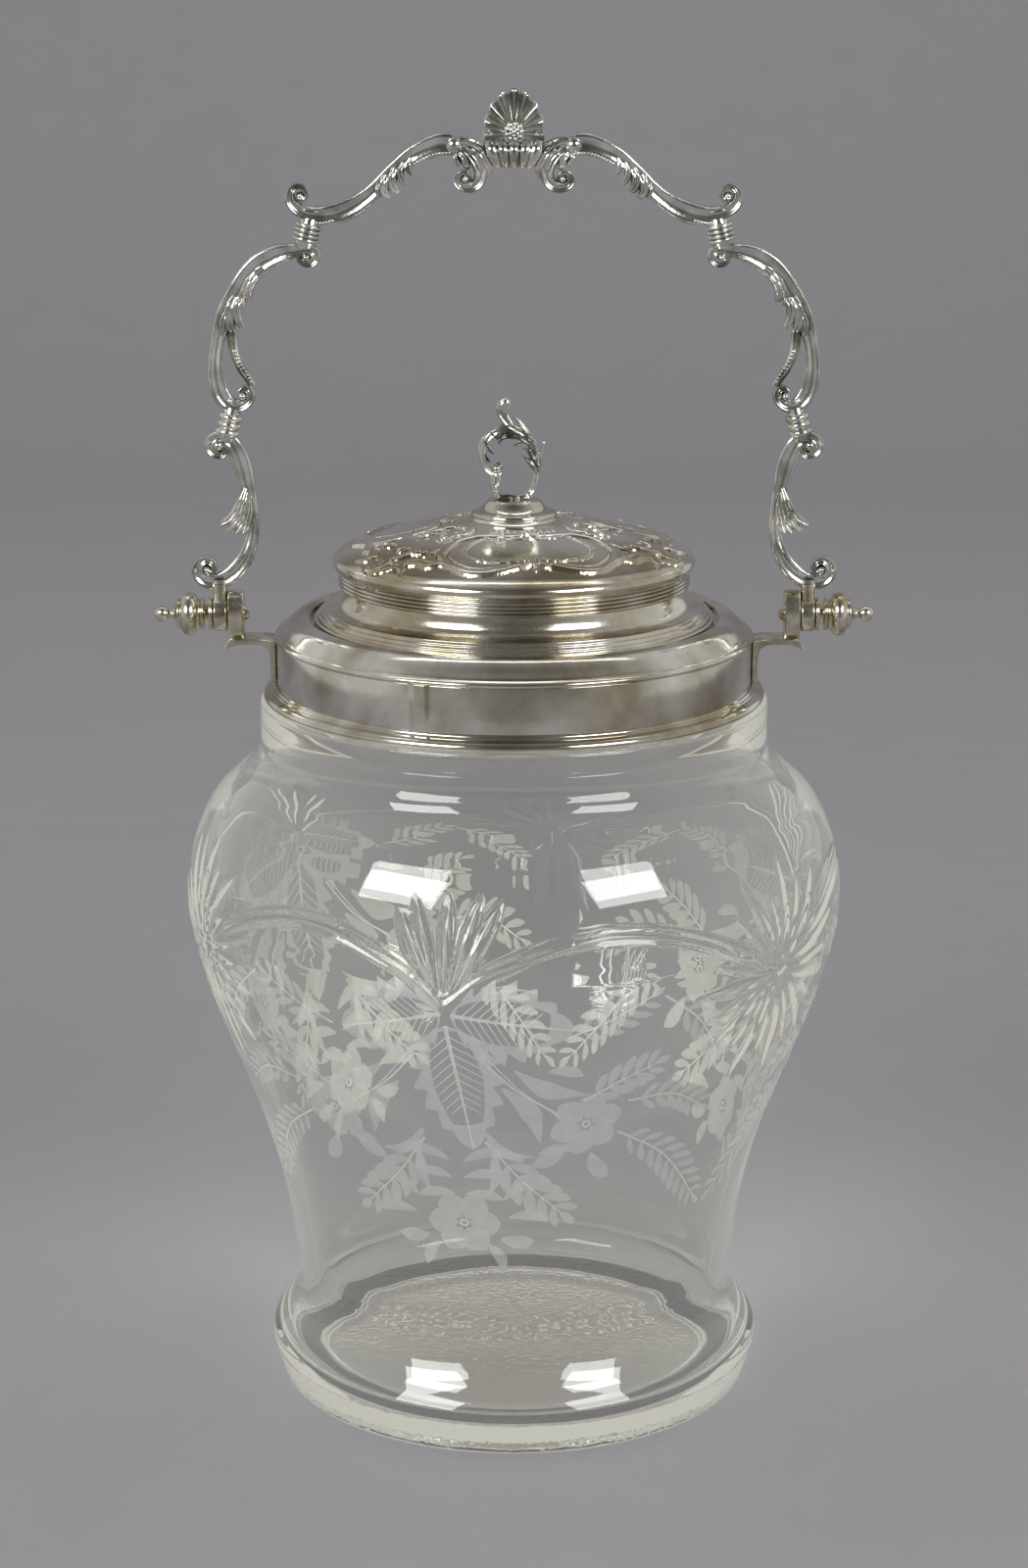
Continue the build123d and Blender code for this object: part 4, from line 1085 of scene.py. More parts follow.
@dataclass
class Lid:
    """The spun lid: flange, steps, cove, reeded rim, bulge, and the dome with its chased panels."""

    finish: Finishes
    segments: int = 900
    panel_angle: float = 8.0
    repeats: int = 3
    groove: float = 0.3
    bulge: float = 36.2
    relief_limit: float = 0.35
    reed_foot: float = 166.4
    reed_pitch: float = 0.775
    reeds: int = 4
    dome: Pairs = (
        (35.1, 169.5), (35.9, 170.2), (36.2, 171.2), (35.9, 172.0), (34.93, 172.82), (32.04, 174.17),
        (26.61, 176.15), (18.1, 178.04), (13.0, 179.0), (9.05, 179.75), (8.5, 180.2))
    frame_low: Pairs = (
        (-47.0, 34.2), (-50.5, 31.8), (-46.0, 30.2), (-41.0, 30.6), (-36.0, 29.4), (-30.0, 30.2),
        (-24.0, 31.5), (-18.0, 31.5), (-12.0, 30.4), (-6.5, 29.0), (0.0, 28.6))
    frame_high: Pairs = (
        (-27.0, 30.8), (-35.0, 28.6), (-41.5, 25.0), (-43.0, 20.6), (-37.0, 17.0), (-26.0, 15.6),
        (-12.0, 15.4), (0.0, 14.6))
    panel: Pairs = (
        (0.0, 26.4), (-9.0, 27.3), (-19.0, 27.6), (-27.0, 26.2), (-32.0, 22.6), (-31.0, 18.8),
        (-20.0, 16.9), (0.0, 16.6))
    scroll: Pairs = (
        (-56.5, 35.0), (-60.0, 34.6), (-61.5, 32.6), (-59.5, 30.6), (-56.0, 28.4), (-54.5, 25.2),
        (-55.5, 21.8), (-59.5, 19.4), (-60.0, 17.0))

    def stroke(self, height: np.ndarray, plan: np.ndarray, path: Points, half: float, high: float,
               beaded: float = 0.0) -> None:
        """Raises one chased stroke out of the dome.

        Args:
            height: The relief so far, by point. It is changed in place.
            plan: Each point's place seen from above.
            path: (angle, radius) points of the stroke.
            half: Half its width.
            high: How far it stands up.
            beaded: How much of its height comes and goes along it, as beads.
        """
        line = flow(path, 60)
        flat = wrapped(line[:, 1], 0.0, np.radians(line[:, 0]))[:, :2]
        near = np.nonzero((np.abs(plan - flat.mean(0)).max(axis=1) < np.ptp(flat, axis=0).max() + half))[0]
        if not len(near):
            return
        points = plan[near]
        best = np.full(len(near), 1e9)
        run = np.zeros(len(near))
        walked = 0.0
        for a, b in zip(flat[:-1], flat[1:]):
            gap = b - a
            length = float(np.linalg.norm(gap)) or 1e-9
            t = np.clip(((points - a) @ gap) / length ** 2, 0, 1)
            off = np.linalg.norm(points - a - t[:, None] * gap, axis=1)
            better = off < best
            best[better] = off[better]
            run[better] = walked + t[better] * length
            walked += length
        taper = np.clip(np.minimum(run, walked - run) / (half * 2), 0.25, 1)
        share = best / (half * taper)
        shape = np.clip(1 - share ** 2, 0, 1) ** 0.75 * high
        shape *= 1 - beaded * (0.5 + 0.5 * np.cos(run / (half * 1.1) * 2 * math.pi))
        beside = np.clip(1 - np.abs(share - 1.25) / 0.35, 0, 1) * self.groove
        raised = np.maximum(height[near], shape)
        height[near] = np.where(share < 1, raised, np.where(height[near] > 0.02, height[near],
                                                            np.minimum(height[near], -beside)))

    def half_panel(self) -> list[tuple[Points, float, float, float]]:
        """Lists the strokes of one half of a panel, in the order that they are chased.

        Returns:
            Each stroke's (angle, radius) points, half width, height and beading.
        """
        strokes = [(self.frame_low, 0.95, 0.5, 0.0), (self.frame_high, 0.85, 0.42, 0.0),
                   (self.panel, 0.35, 0.14, 0.0), (self.scroll, 1.15, 0.5, 0.1)]
        for index in range(5):
            lean = -43.5 - index * 3.4
            strokes.append(([(lean, 20.6), (lean - 2.4, 24.2), (lean - 3.0, 28.0)], 0.95, 0.34, 0.0))
        for index in range(4):
            spot = 3.0 + index * 6.0
            strokes.append(([(-spot, 14.8), (-spot - 2.5, 12.9), (-spot - 8.5, 12.0)], 0.9, 0.28, 0.0))
        strokes.append(([(-49.5, 18.2), (-46.5, 15.2), (-51.0, 12.9), (-58.0, 13.6)], 1.0, 0.4, 0.0))
        strokes.append(([(-50.5, 32.2), (-55.0, 33.2), (-58.0, 35.6)], 0.9, 0.35, 0.0))
        for index in range(3):
            lean = -54.5 + index * 3.0
            strokes.append(([(lean, 15.6), (lean + 0.6, 19.6)], 0.8, 0.28, 0.0))
        return strokes

    def chasing(self, plan: np.ndarray) -> np.ndarray:
        """Chases the whole relief: three scroll panels with shellwork between them.

        Args:
            plan: Each point's place seen from above.

        Returns:
            The height of the relief at each point.
        """
        height = np.zeros(len(plan))
        for turn in range(self.repeats):
            middle = self.panel_angle + turn * 360 / self.repeats
            for hand in (1, -1):
                for path, half, high, beaded in self.half_panel():
                    self.stroke(height, plan, [(middle + hand * a, r) for a, r in path], half, high, beaded)
            for spot, far in ((-4.0, 30.6), (0.0, 31.0), (4.0, 30.6)):
                self.stroke(height, plan, [(middle + spot, 28.4), (middle + spot * 1.4, far)], 0.8, 0.5)
        return height

    def build(self) -> None:
        """Builds the shell with its relief, the reeded rim and the bezel."""
        rows = flow(self.dome, 120)
        rows[:, 0] = np.minimum(rows[:, 0], self.bulge)
        around = np.radians(np.linspace(0, 360, self.segments, endpoint=False))
        plan = wrapped(rows[:, :1], rows[:, 1:], around)[..., :2]
        relief = self.chasing(plan.reshape(-1, 2)).reshape(plan.shape[:2])
        slope = np.gradient(rows, axis=0)
        normal = np.stack([slope[:, 1], -slope[:, 0]], axis=-1)
        normal /= np.linalg.norm(normal, axis=1)[:, None]
        radius = np.minimum(rows[:, :1] + normal[:, :1] * relief, self.bulge + self.relief_limit)
        # From the boss's seat down inside the shell, round the flange and up the steps and the cove
        rest = softened([
            (8.5, 180.2, 0), (1.25, 180.2, 0), (1.25, 179.3, 0), (8.5, 179.3, 0), (18.0, 177.1, 0),
            (26.2, 175.2, 0), (31.6, 173.2, 0), (35.2, 171.2, 0), (34.2, 169.5, 0), (33.4, 169.3, 0),
            (33.4, 166.4, 0.4), (34.2, 163.4, 0.8), (36.0, 160.6, 0.6), (36.2, 158.78, 0.1),
            (39.6, 158.78, 0.1), (40.0, 159.0, 0.15), (40.0, 159.98, 0.15), (39.4, 160.0, 0.1),
            (39.35, 160.7, 0.12), (38.75, 160.75, 0.12), (38.7, 161.45, 0.12), (38.05, 161.5, 0.12),
            (38.0, 162.2, 0.12), (37.3, 162.25, 0.3), (35.4, 163.1, 1.0), (34.5, 164.8, 0.9),
            (34.3, 166.4, 0.3), (34.3, 169.4, 0.1), (35.1, 169.5, 0)])[1:-1]
        shell = Form()
        shell.grid(np.concatenate([wrapped(radius, rows[:, 1:] + normal[:, 1:] * relief, around),
                                   wrapped(rest[:, :1], rest[:, 1:], around)]),
                   round_rows=True, round_columns=True)
        shell.piece("chased_lid_shell", [self.finish.chased], Body.LID, "polished_silver", ["lid_shell"])
        reeds = [(34.3, self.reed_foot)]
        for index in range(self.reeds):
            foot = self.reed_foot + self.reed_pitch * index
            for turn in np.linspace(-1.45, 1.45, 7):
                reeds.append((34.65 + 0.42 * math.cos(turn) + index * 0.02,
                              foot + 0.3875 + 0.385 * math.sin(turn)))
        reeds.append((34.3, 169.5))
        bezel = softened([(36.2, 158.78, 0), (36.2, 153.18, 0.2), (37.0, 153.18, 0.2), (37.0, 158.78, 0)])
        turned_piece("lid_reeded_wire", np.array(reeds), 256, self.finish.spun, Body.LID, "lid_reeded_rim")
        turned_piece("lid_bezel_ring", bezel, 192, self.finish.spun, Body.LID, "lid_bezel")


@dataclass
class Finial:
    """The turned boss and the cast openwork scroll on the lid."""

    finish: Finishes
    # (x, z) points and half width of the ribbed leaves inside the scroll
    ribbed_leaves: tuple[tuple[Pairs, float], ...] = (
        (((4.7, 188.6), (3.5, 190.4), (1.6, 192.1)), 0.75), (((4.8, 189.6), (3.9, 191.2),
        (2.6, 192.9)), 0.5), (((4.4, 192.4), (3.0, 193.3), (1.6, 193.6)), 0.5), (((2.9, 194.8),
        (1.2, 194.8), (-0.2, 193.9)), 0.45), (((-4.4, 196.3), (-3.2, 195.6), (-2.9, 194.3)), 0.45),
        (((-5.7, 194.9), (-5.0, 193.4), (-4.1, 192.4)), 0.5),
        (((-5.9, 192.4), (-5.2, 191.4), (-4.7, 190.6)), 0.35))

    def build(self) -> None:
        """Builds the boss, and the scroll with its leaves and its tang."""
        turned_piece("finial_turned_boss", softened([
            (1.25, 180.2, 0), (8.5, 180.2, 0.1), (8.5, 180.75, 0.25), (8.2, 181.1, 0.2),
            (7.7, 181.15, 0.2), (7.1, 181.35, 0.4), (6.1, 182.0, 0.6), (5.5, 182.9, 0.4),
            (5.2, 183.2, 0.15), (4.9, 183.4, 0.2), (1.25, 183.4, 0)]), 128,
            self.finish.spun, Body.LID, "finial_boss")
        form = Form()
        # The foot and the right-hand stem
        form.strand([(-4.0, 185.4), (-3.2, 184.15), (-0.9, 183.85), (2.0, 183.85), (3.4, 184.9),
                     (4.2, 186.7), (4.6, 189.1), (4.5, 191.2), (3.9, 193.2)],
                    [0.6, 0.6, 0.5, 0.55, 0.6, 0.6, 0.65, 0.75, 0.9], [0.8, 0.8, 0.75, 0.7, 0.7],
                    Section.CHANNEL)
        for path in ([(-3.2, 184.8), (-3.3, 183.7)], [(2.8, 184.6), (3.1, 183.7)]):
            form.strand(path, [0.62, 0.6, 0.62], [0.8, 0.8, 0.75])
        # The short stem on the left with its ball
        form.strand([(-4.0, 185.2), (-4.2, 186.8), (-3.9, 188.4), (-3.0, 189.0)], [0.55, 0.5, 0.5, 0.35],
                    [0.75, 0.7, 0.6], Section.CHANNEL)
        form.strand([(-3.6, 185.6), (-3.0, 187.2), (-3.3, 188.6)], [0.2, 0.45, 0.3], [0.5, 0.6, 0.5])
        form.ball((-3.4, 0.0, 189.4), 1.0, 1.1)
        # The great scroll and the ribbed strand inside it
        form.strand([(-3.4, 190.6), (-2.4, 190.1), (-2.5, 188.9), (-3.5, 188.3), (-5.2, 189.2),
                     (-6.1, 191.4), (-6.15, 193.4), (-5.4, 195.3), (-4.0, 196.7), (-2.0, 197.4),
                     (-0.1, 197.4), (1.8, 196.5), (3.4, 194.9), (4.4, 192.8)],
                    [0.25, 0.35, 0.4, 0.5, 0.7, 0.95, 1.0, 0.95, 0.9, 0.85, 0.85, 0.9, 0.85, 0.6],
                    [0.5, 0.6, 0.8, 0.9, 0.9, 0.9, 0.8], Section.CHANNEL)
        form.strand([(-3.1, 194.8), (-2.0, 195.9), (-0.1, 196.1), (1.8, 195.4), (3.4, 194.0), (4.3, 192.3)],
                    [0.35, 0.75, 0.85, 0.75, 0.6, 0.4], [0.6, 0.95, 1.0, 0.9, 0.6], Section.RIBBED)
        # The bud on the right
        form.strand([(4.4, 188.2), (5.0, 190.6), (5.4, 192.9), (5.9, 194.6)], [0.4, 0.6, 0.5, 0.32],
                    [0.6, 0.7, 0.5, 0.4], Section.CHANNEL)
        form.ball((5.9, 0.0, 194.6), 0.38)
        # The curl and the leaves on top
        form.strand([(0.8, 197.1), (-0.6, 198.0), (-2.0, 199.5), (-2.9, 201.3), (-2.6, 202.6),
                     (-1.6, 203.1), (-0.9, 202.5), (-1.3, 201.6)],
                    [0.5, 0.75, 0.85, 0.75, 0.6, 0.5, 0.4, 0.25], [0.7, 0.8, 0.8, 0.7, 0.5, 0.4],
                    Section.CHANNEL)
        form.strand([(-0.2, 198.2), (-1.2, 199.6), (-1.4, 200.8)], [0.35, 0.5, 0.1], [0.6, 0.6, 0.3])
        form.strand([(3.2, 195.6), (2.0, 197.4), (1.0, 198.8), (-0.1, 200.0)], [0.7, 0.75, 0.55, 0.12],
                    [0.8, 0.8, 0.5, 0.2], Section.RIBBED)
        form.strand([(2.6, 196.8), (1.5, 198.0), (0.5, 199.4)], [0.3, 0.4, 0.1], [0.9, 0.8, 0.3])
        form.leaves(self.ribbed_leaves, [0.7, 1.0, 0.2], [0.7, 0.75, 0.25], Section.RIBBED)
        # The tang through the boss and the dome
        form.strand([(0.0, 184.0), (0.0, 175.5)], [1.15, 1.15], [1.15, 1.15])
        form.piece("cast_scroll_finial", [self.finish.cast], Body.LID, "cast_silver", ["finial"],
                   crease=CAST_CREASE)


@dataclass
class Pivots:
    """The brackets on the collar, their ears, and the turned screws that carry the handle."""

    finish: Finishes
    height: float = 160.1
    ear_inner: float = 54.1
    ear: float = 3.0
    half_width: float = 3.8
    band_top: float = 155.6
    strap_foot: float = 146.75
    ease: float = 0.18
    # Distance from the axis, height above the band's top and softening of the arm's and the strap's corners
    strap: Corners = (
        (47.62, -0.4, 0), (49.2, -0.1, 0.8), (51.6, 0.05, 1.2), (54.1, 0.0, 0.6), (57.1, 0.0, 0.5),
        (57.5, -0.9, 0.5), (58.0, -2.1, 0.1), (56.9, -1.5, 0.5), (55.4, -0.95, 0.6), (53.0, -0.8, 1.0),
        (50.8, -0.9, 1.0), (49.2, -1.6, 1.0), (48.6, -3.4, 0.8))

    def slab(self, form: Form, outline: Points, low: float, high: float, axis: str) -> None:
        """Adds a flat plate with softened edges.

        Args:
            form: The form that takes it.
            outline: (across, up) corners, round once.
            low: Where it begins along the axis.
            high: Where it ends.
            axis: X for a plate across X, Y for one across Y.
        """
        edge = np.asarray(outline, float)
        middle = edge.mean(axis=0)
        toward = edge - middle
        inner = edge - toward / np.linalg.norm(toward, axis=1)[:, None] * self.ease
        rings = []
        for points, where in ((inner, low), (edge, low + self.ease),
                              (edge, high - self.ease), (inner, high)):
            depth = np.full(len(points), where)
            rings.append(np.stack([depth, points[:, 0], points[:, 1]] if axis == "X"
                                  else [points[:, 0], depth, points[:, 1]], axis=-1))
        start = form.count
        form.grid(np.array(rings), round_columns=True)
        count = len(edge)
        for ring in (0, 3):
            first = start + ring * count
            face = tuple(range(first, first + count))
            form.faces.append(face if ring else face[::-1])
            form.marks.append(0)

    def build(self) -> None:
        """Builds the bracket, ear, screw and washer of each side."""
        for side in Side:
            self.build_side(side)

    def build_side(self, side: Side) -> None:
        """Builds one side's metalwork.

        Args:
            side: Which side.
        """
        bracket, ear, screw, washer = Form(), Form(), Form(), Form()
        top, low = self.band_top, self.strap_foot
        line = softened([(across, top + rise, ease) for across, rise, ease in self.strap]
                        + [(48.6, low, 0.3), (47.75, low, 0.1), (47.62, low + 0.4, 0)], 4)
        self.slab(bracket, line, -self.half_width, self.half_width, "Y")
        flank = [(2.7, top), (2.85, top + 0.7), (3.25, top + 1.9), (3.6, top + 3.2), (3.78, top + 4.4)]
        arch = flank + [(self.half_width * math.cos(a), top + 5.6 + self.half_width * math.sin(a))
                        for a in np.linspace(0, math.pi, 22)]
        arch += [(-across, up) for across, up in reversed(flank)]
        self.slab(ear, arch, self.ear_inner, self.ear_inner + self.ear, "X")
        screw.turned(softened([
            (0, 53.0, 0), (0.5, 53.0, 0.15), (1.7, 54.0, 0.1), (1.7, 54.1, 0), (1.48, 54.12, 0),
            (1.48, 60.98, 0), (1.9, 61.0, 0.1), (1.9, 62.0, 0.2), (3.3, 62.05, 0.2), (3.3, 62.6, 0.2),
            (2.9, 62.75, 0.1), (3.1, 62.9, 0.1), (3.2, 63.4, 0.1)]
            + [(2.95 + 1.45 * math.cos(a), 65.0 + 1.55 * math.sin(a), 0)
               for a in np.linspace(-1.4, 1.4, 13)]
            + [(3.0, 66.65, 0.1), (3.0, 67.3, 0.2), (2.3, 67.5, 0.3), (1.2, 67.9, 0.4), (0.8, 68.6, 0.3)]
            + [(1.62 * math.cos(a), 70.48 + 1.62 * math.sin(a), 0) for a in np.linspace(-1.05, 1.5, 11)]
            + [(0, 72.1, 0)], 4), 64, "X", (0.0, 0.0, self.height))
        washer.turned(softened([(1.55, 60.3, 0), (3.3, 60.3, 0.1), (3.4, 60.65, 0.1), (3.3, 60.98, 0.1),
                                (1.55, 60.98, 0)]), 48, "X", (0.0, 0.0, self.height))
        for form, name, node in ((bracket, "bracket_strap", "bracket"), (ear, "pivot_ear", "bracket_ear"),
                                 (screw, "knobbed_screw", "pivot_screw"),
                                 (washer, "screw_washer", "washer")):
            form.on(side).piece(f"{side.value}_{name}", [self.finish.worn], Body.JAR, "worn_silver",
                                [f"{side.value}_{node}"], crease=35.0)


@dataclass
class Handle:
    """The cast swing handle: crest, arms, ferrules and eyes."""

    finish: Finishes
    eye_inner: float = 57.3
    eye_outer: float = 60.1
    pivot: float = 160.1
    tilt: float = 14.0
    # Shares of a leaf's half width from its root to its tip
    leaf_outline: tuple[float, ...] = (0.8, 1.1, 1.15, 1.0, 0.55)
    # (x, z) points and half width of the leaves on the top arm and on the outer arm
    top_leaves: tuple[tuple[Pairs, float], ...] = (
        (((24.7, 246.9), (25.3, 245.2), (25.2, 243.6), (24.2, 242.4)), 0.95),
        (((23.1, 248.2), (23.7, 246.2), (23.4, 244.4), (22.5, 243.4)), 0.9),
        (((21.5, 249.3), (22.1, 247.4), (21.8, 246.0), (21.1, 245.1)), 0.7),
        (((19.9, 250.1), (20.4, 248.8), (20.3, 247.6), (19.8, 246.8)), 0.5),
        (((26.4, 245.2), (26.6, 244.0), (26.3, 243.0), (25.9, 242.4)), 0.45))
    outer_leaves: tuple[tuple[Pairs, float], ...] = (
        (((48.8, 229.0), (51.0, 226.8), (51.9, 224.6), (51.6, 222.4)), 1.0),
        (((50.6, 228.0), (52.4, 225.6), (53.2, 223.4), (53.0, 221.6)), 0.8),
        (((54.4, 223.4), (55.7, 220.6), (55.8, 218.2), (54.9, 216.0)), 1.15),
        (((53.2, 223.6), (54.2, 221.0), (54.0, 218.8), (53.2, 217.3)), 0.85),
        (((56.0, 221.0), (57.1, 218.4), (57.0, 216.4), (56.4, 215.2)), 0.7))
    # (x, z) points of the lower arm's leaves, and how thick each is near its root
    lower_leaves: tuple[tuple[Pairs, float], ...] = (
        (((53.2, 185.6), (54.4, 182.3), (56.1, 179.7), (58.5, 178.2)), 1.5),
        (((53.0, 185.0), (53.9, 181.6), (55.2, 178.9), (57.0, 177.0)), 1.4),
        (((52.8, 184.4), (53.3, 180.9), (54.1, 178.3), (55.3, 176.5)), 1.3),
        (((52.6, 183.8), (52.8, 180.4), (53.2, 178.2), (53.9, 176.6)), 1.2))
    # (x, z) points and half width of the leaves on each scroll beside the calyx
    scroll_leaves: tuple[tuple[Pairs, float], ...] = (
        (((7.8, 252.3), (6.0, 250.6), (5.0, 248.6), (5.3, 246.2)), 0.95),
        (((9.2, 252.0), (7.4, 250.4), (6.4, 248.6), (6.2, 246.8)), 0.75),
        (((10.6, 251.2), (9.6, 250.0), (9.3, 248.9), (8.8, 248.0)), 0.8),
        (((11.6, 251.2), (11.2, 250.0), (10.8, 249.2), (10.9, 248.5)), 0.55))

    def arms(self) -> dict[str, Form]:
        """Makes the right-hand parts of the handle.

        Returns:
            The forms, by their nodes' names without the side.
        """
        return {"top_arm": self.top_arm(), "outer_arm": self.outer_arm(), "lower_arm": self.lower_arm(),
                "upper_ferrule": self.ferrule((40.2, 235.8), 2.75, 3.6, 4),
                "lower_ferrule": self.ferrule((56.2, 198.2), 2.4, 4.6, 3), "handle_eye": self.eye()}

    def top_arm(self) -> Form:
        """Makes the arm from the crest to the upper ferrule, with its volute, leaves and beads.

        Returns:
            The form.
        """
        form = Form()
        form.strand([(12.0, 252.7), (14.2, 252.7), (16.3, 252.1), (19.6, 250.7), (22.3, 248.6),
                     (24.5, 246.6), (26.2, 244.8), (28.9, 242.4), (31.7, 240.6), (34.4, 239.5),
                     (37.1, 239.1), (39.6, 239.4), (42.0, 240.3), (43.4, 242.0), (43.3, 243.9),
                     (41.9, 244.8), (40.6, 244.1), (40.3, 242.7), (41.2, 241.9), (42.0, 242.5)],
                    [2.16, 2.16, 2.09, 1.85, 1.72, 1.60, 1.55, 1.55, 1.67, 1.85, 2.03, 2.16, 1.97,
                     1.72, 1.41, 1.16, 0.86, 0.62, 0.49, 0.37],
                    [1.35, 1.3, 1.3, 1.25, 1.2, 1.2, 1.3, 1.5, 1.7, 1.8, 1.7, 1.5, 1.3, 1.1],
                    Section.CHANNEL)
        form.ball((41.6, 0.0, 242.9), 0.85, 2.0)
        form.leaves(self.top_leaves, self.leaf_outline, [0.9, 1.5, 1.6, 1.3, 0.6])
        for face in (-1.0, 1.0):
            form.beads([(12.4, 251.1), (14.6, 251.0), (17.3, 250.1), (19.2, 249.1)], 0.3, face * 0.9)
            form.beads([(35.2, 238.2), (37.6, 237.7), (40.2, 238.2)], 0.28, face * 1.2)
        return form

    def outer_arm(self) -> Form:
        """Makes the arm between the ferrules: a scroll with a volute at each end, leaves, a rib and beads.

        Returns:
            The form.
        """
        form = Form()
        form.strand([(41.4, 231.5), (41.9, 230.8), (41.1, 229.9), (39.8, 229.8), (38.8, 230.7),
                     (38.8, 231.8), (39.8, 232.5), (41.7, 232.4), (43.9, 232.1), (46.8, 231.2),
                     (49.4, 229.8), (51.5, 227.9), (53.2, 225.6), (54.7, 223.2), (56.2, 220.4),
                     (57.4, 217.4), (58.3, 213.9), (58.7, 210.3), (58.5, 207.1), (57.8, 204.5),
                     (56.4, 202.6), (54.6, 201.9), (52.8, 202.6), (51.9, 204.0), (52.3, 205.2),
                     (53.3, 205.4), (54.1, 204.8)],
                    [0.48, 0.67, 0.97, 1.21, 1.39, 1.57, 1.88, 2.18, 2.30, 2.24, 2.18, 2.12, 2.06,
                     1.99, 1.88, 1.57, 1.33, 1.28, 1.33, 1.52, 1.69, 1.81, 1.69, 1.45, 1.14, 0.85, 0.48],
                    [1.4, 1.5, 1.5, 1.45, 1.4, 1.4, 1.4, 1.3, 1.3, 1.4, 1.6, 1.6], Section.CHANNEL)
        for x, z, radius, squash in ((40.5, 231.0, 1.0, 1.7), (53.4, 203.9, 1.0, 1.9),
                                     (55.8, 203.0, 0.8, 2.0)):
            form.ball((x, 0.0, z), radius, squash)
        form.leaves(self.outer_leaves, self.leaf_outline, [1.1, 1.8, 1.8, 1.5, 0.7])
        form.strand([(55.3, 216.6), (55.3, 214.2), (54.8, 211.6), (53.7, 209.3), (52.4, 207.4),
                     (51.6, 205.9)],
                    [1.0, 1.05, 0.95, 0.9, 0.9, 0.8], [1.2, 1.2, 1.1, 1.1, 1.1, 1.0], Section.RIBBED)
        for face in (-0.9, 0.9):
            form.beads([(54.7, 212.8), (53.7, 210.4), (52.4, 208.3), (51.7, 206.8)], 0.34, face)
        return form

    def lower_arm(self) -> Form:
        """Makes the arm from the lower ferrule to the eye's strap, with its volutes and leaves.

        Returns:
            The form.
        """
        form = Form()
        form.strand([(57.8, 194.1), (57.1, 193.2), (57.8, 192.2), (59.3, 192.5), (60.2, 193.9),
                     (59.4, 195.3), (57.6, 195.7), (56.0, 194.8), (54.8, 192.7), (53.8, 189.6),
                     (53.0, 186.1), (52.2, 182.3), (51.9, 178.3), (52.4, 174.4), (53.8, 171.2),
                     (55.6, 168.9), (57.6, 167.4), (59.6, 166.7), (61.6, 166.9), (63.0, 168.2),
                     (63.0, 169.9), (61.7, 171.1), (60.3, 170.7), (59.8, 169.4), (60.6, 168.4),
                     (61.7, 168.9)],
                    [0.50, 0.74, 1.04, 1.30, 1.47, 1.66, 1.78, 1.85, 1.78, 1.54, 1.30, 1.17, 1.17,
                     1.23, 1.30, 1.42, 1.61, 1.73, 1.73, 1.66, 1.54, 1.35, 1.11, 0.86, 0.62, 0.50],
                    [1.4, 1.5, 1.4, 1.2, 1.1, 1.0, 1.0, 1.1, 1.3, 1.5, 1.6, 1.5], Section.CHANNEL)
        form.ball((58.5, 0.0, 194.1), 1.3, 1.4)
        form.ball((61.3, 0.0, 169.2), 0.9, 2.0)
        for path, deep in self.lower_leaves:
            form.strand(path, [0.55, 0.9, 1.05, 0.95, 0.5], [0.8, deep, 1.5, 1.2, 0.6], Section.LOBE)
        form.strand([(58.7, 167.2), (58.7, 166.35)], [1.35, 1.4], [1.35, 1.4], Section.FLAT)
        return form

    def ferrule(self, centre: Sequence[float], radius: float, length: float, reeds: int) -> Form:
        """Makes a ringed barrel over a joint.

        Args:
            centre: (x, z) of its middle.
            radius: Its greatest radius.
            length: Its length.
            reeds: How many rings it has.

        Returns:
            The form.
        """
        outline = [(0.0, length / 2), (radius - 0.75, length / 2)]
        step = length / reeds
        for index in range(reeds):
            upper = length / 2 - index * step
            for turn in np.linspace(0.15, math.pi - 0.15, 7):
                outline.append((radius - 0.72 + 0.72 * math.sin(turn) * (1 - 0.06 * (index % 2)),
                                upper - step / 2 + step * 0.46 * math.cos(turn)))
        outline += [(radius - 0.75, -length / 2), (0.0, -length / 2)]
        form = Form()
        form.turned(np.array(outline), 64)
        turn = -math.radians(self.tilt)
        cos, sin = math.cos(turn), math.sin(turn)
        spin = np.array([[cos, 0, sin], [0, 1, 0], [-sin, 0, cos]])
        form.points = [points @ spin.T + np.array((centre[0], 0.0, centre[1])) for points in form.points]
        for end in (1, -1):
            reach = np.array((-sin, -cos)) * end * (length / 2 + 0.7)
            middle = np.array(centre) + reach * 0.8
            form.strand([middle - reach * 0.2, middle + reach * 0.32], [radius * 0.72, radius * 0.6],
                        [radius * 0.72, radius * 0.55])
        return form

    def eye(self) -> Form:
        """Makes the strap and its round eye on the screw.

        Returns:
            The form.
        """
        form = Form()
        form.turned(softened([(1.58, self.eye_inner, 0.05), (3.2, self.eye_inner, 0.2),
                              (3.5, self.eye_inner + 0.25, 0.15), (3.5, self.eye_outer - 0.25, 0.15),
                              (3.2, self.eye_outer, 0.2), (1.58, self.eye_outer, 0.05), (1.58, 58.7, 0)]),
                    64, "X", (0.0, 0.0, self.pivot))
        form.strand([(58.7, 162.6), (58.7, 166.3)], [1.4, 1.4], [1.8, 1.6], Section.FLAT)
        return form

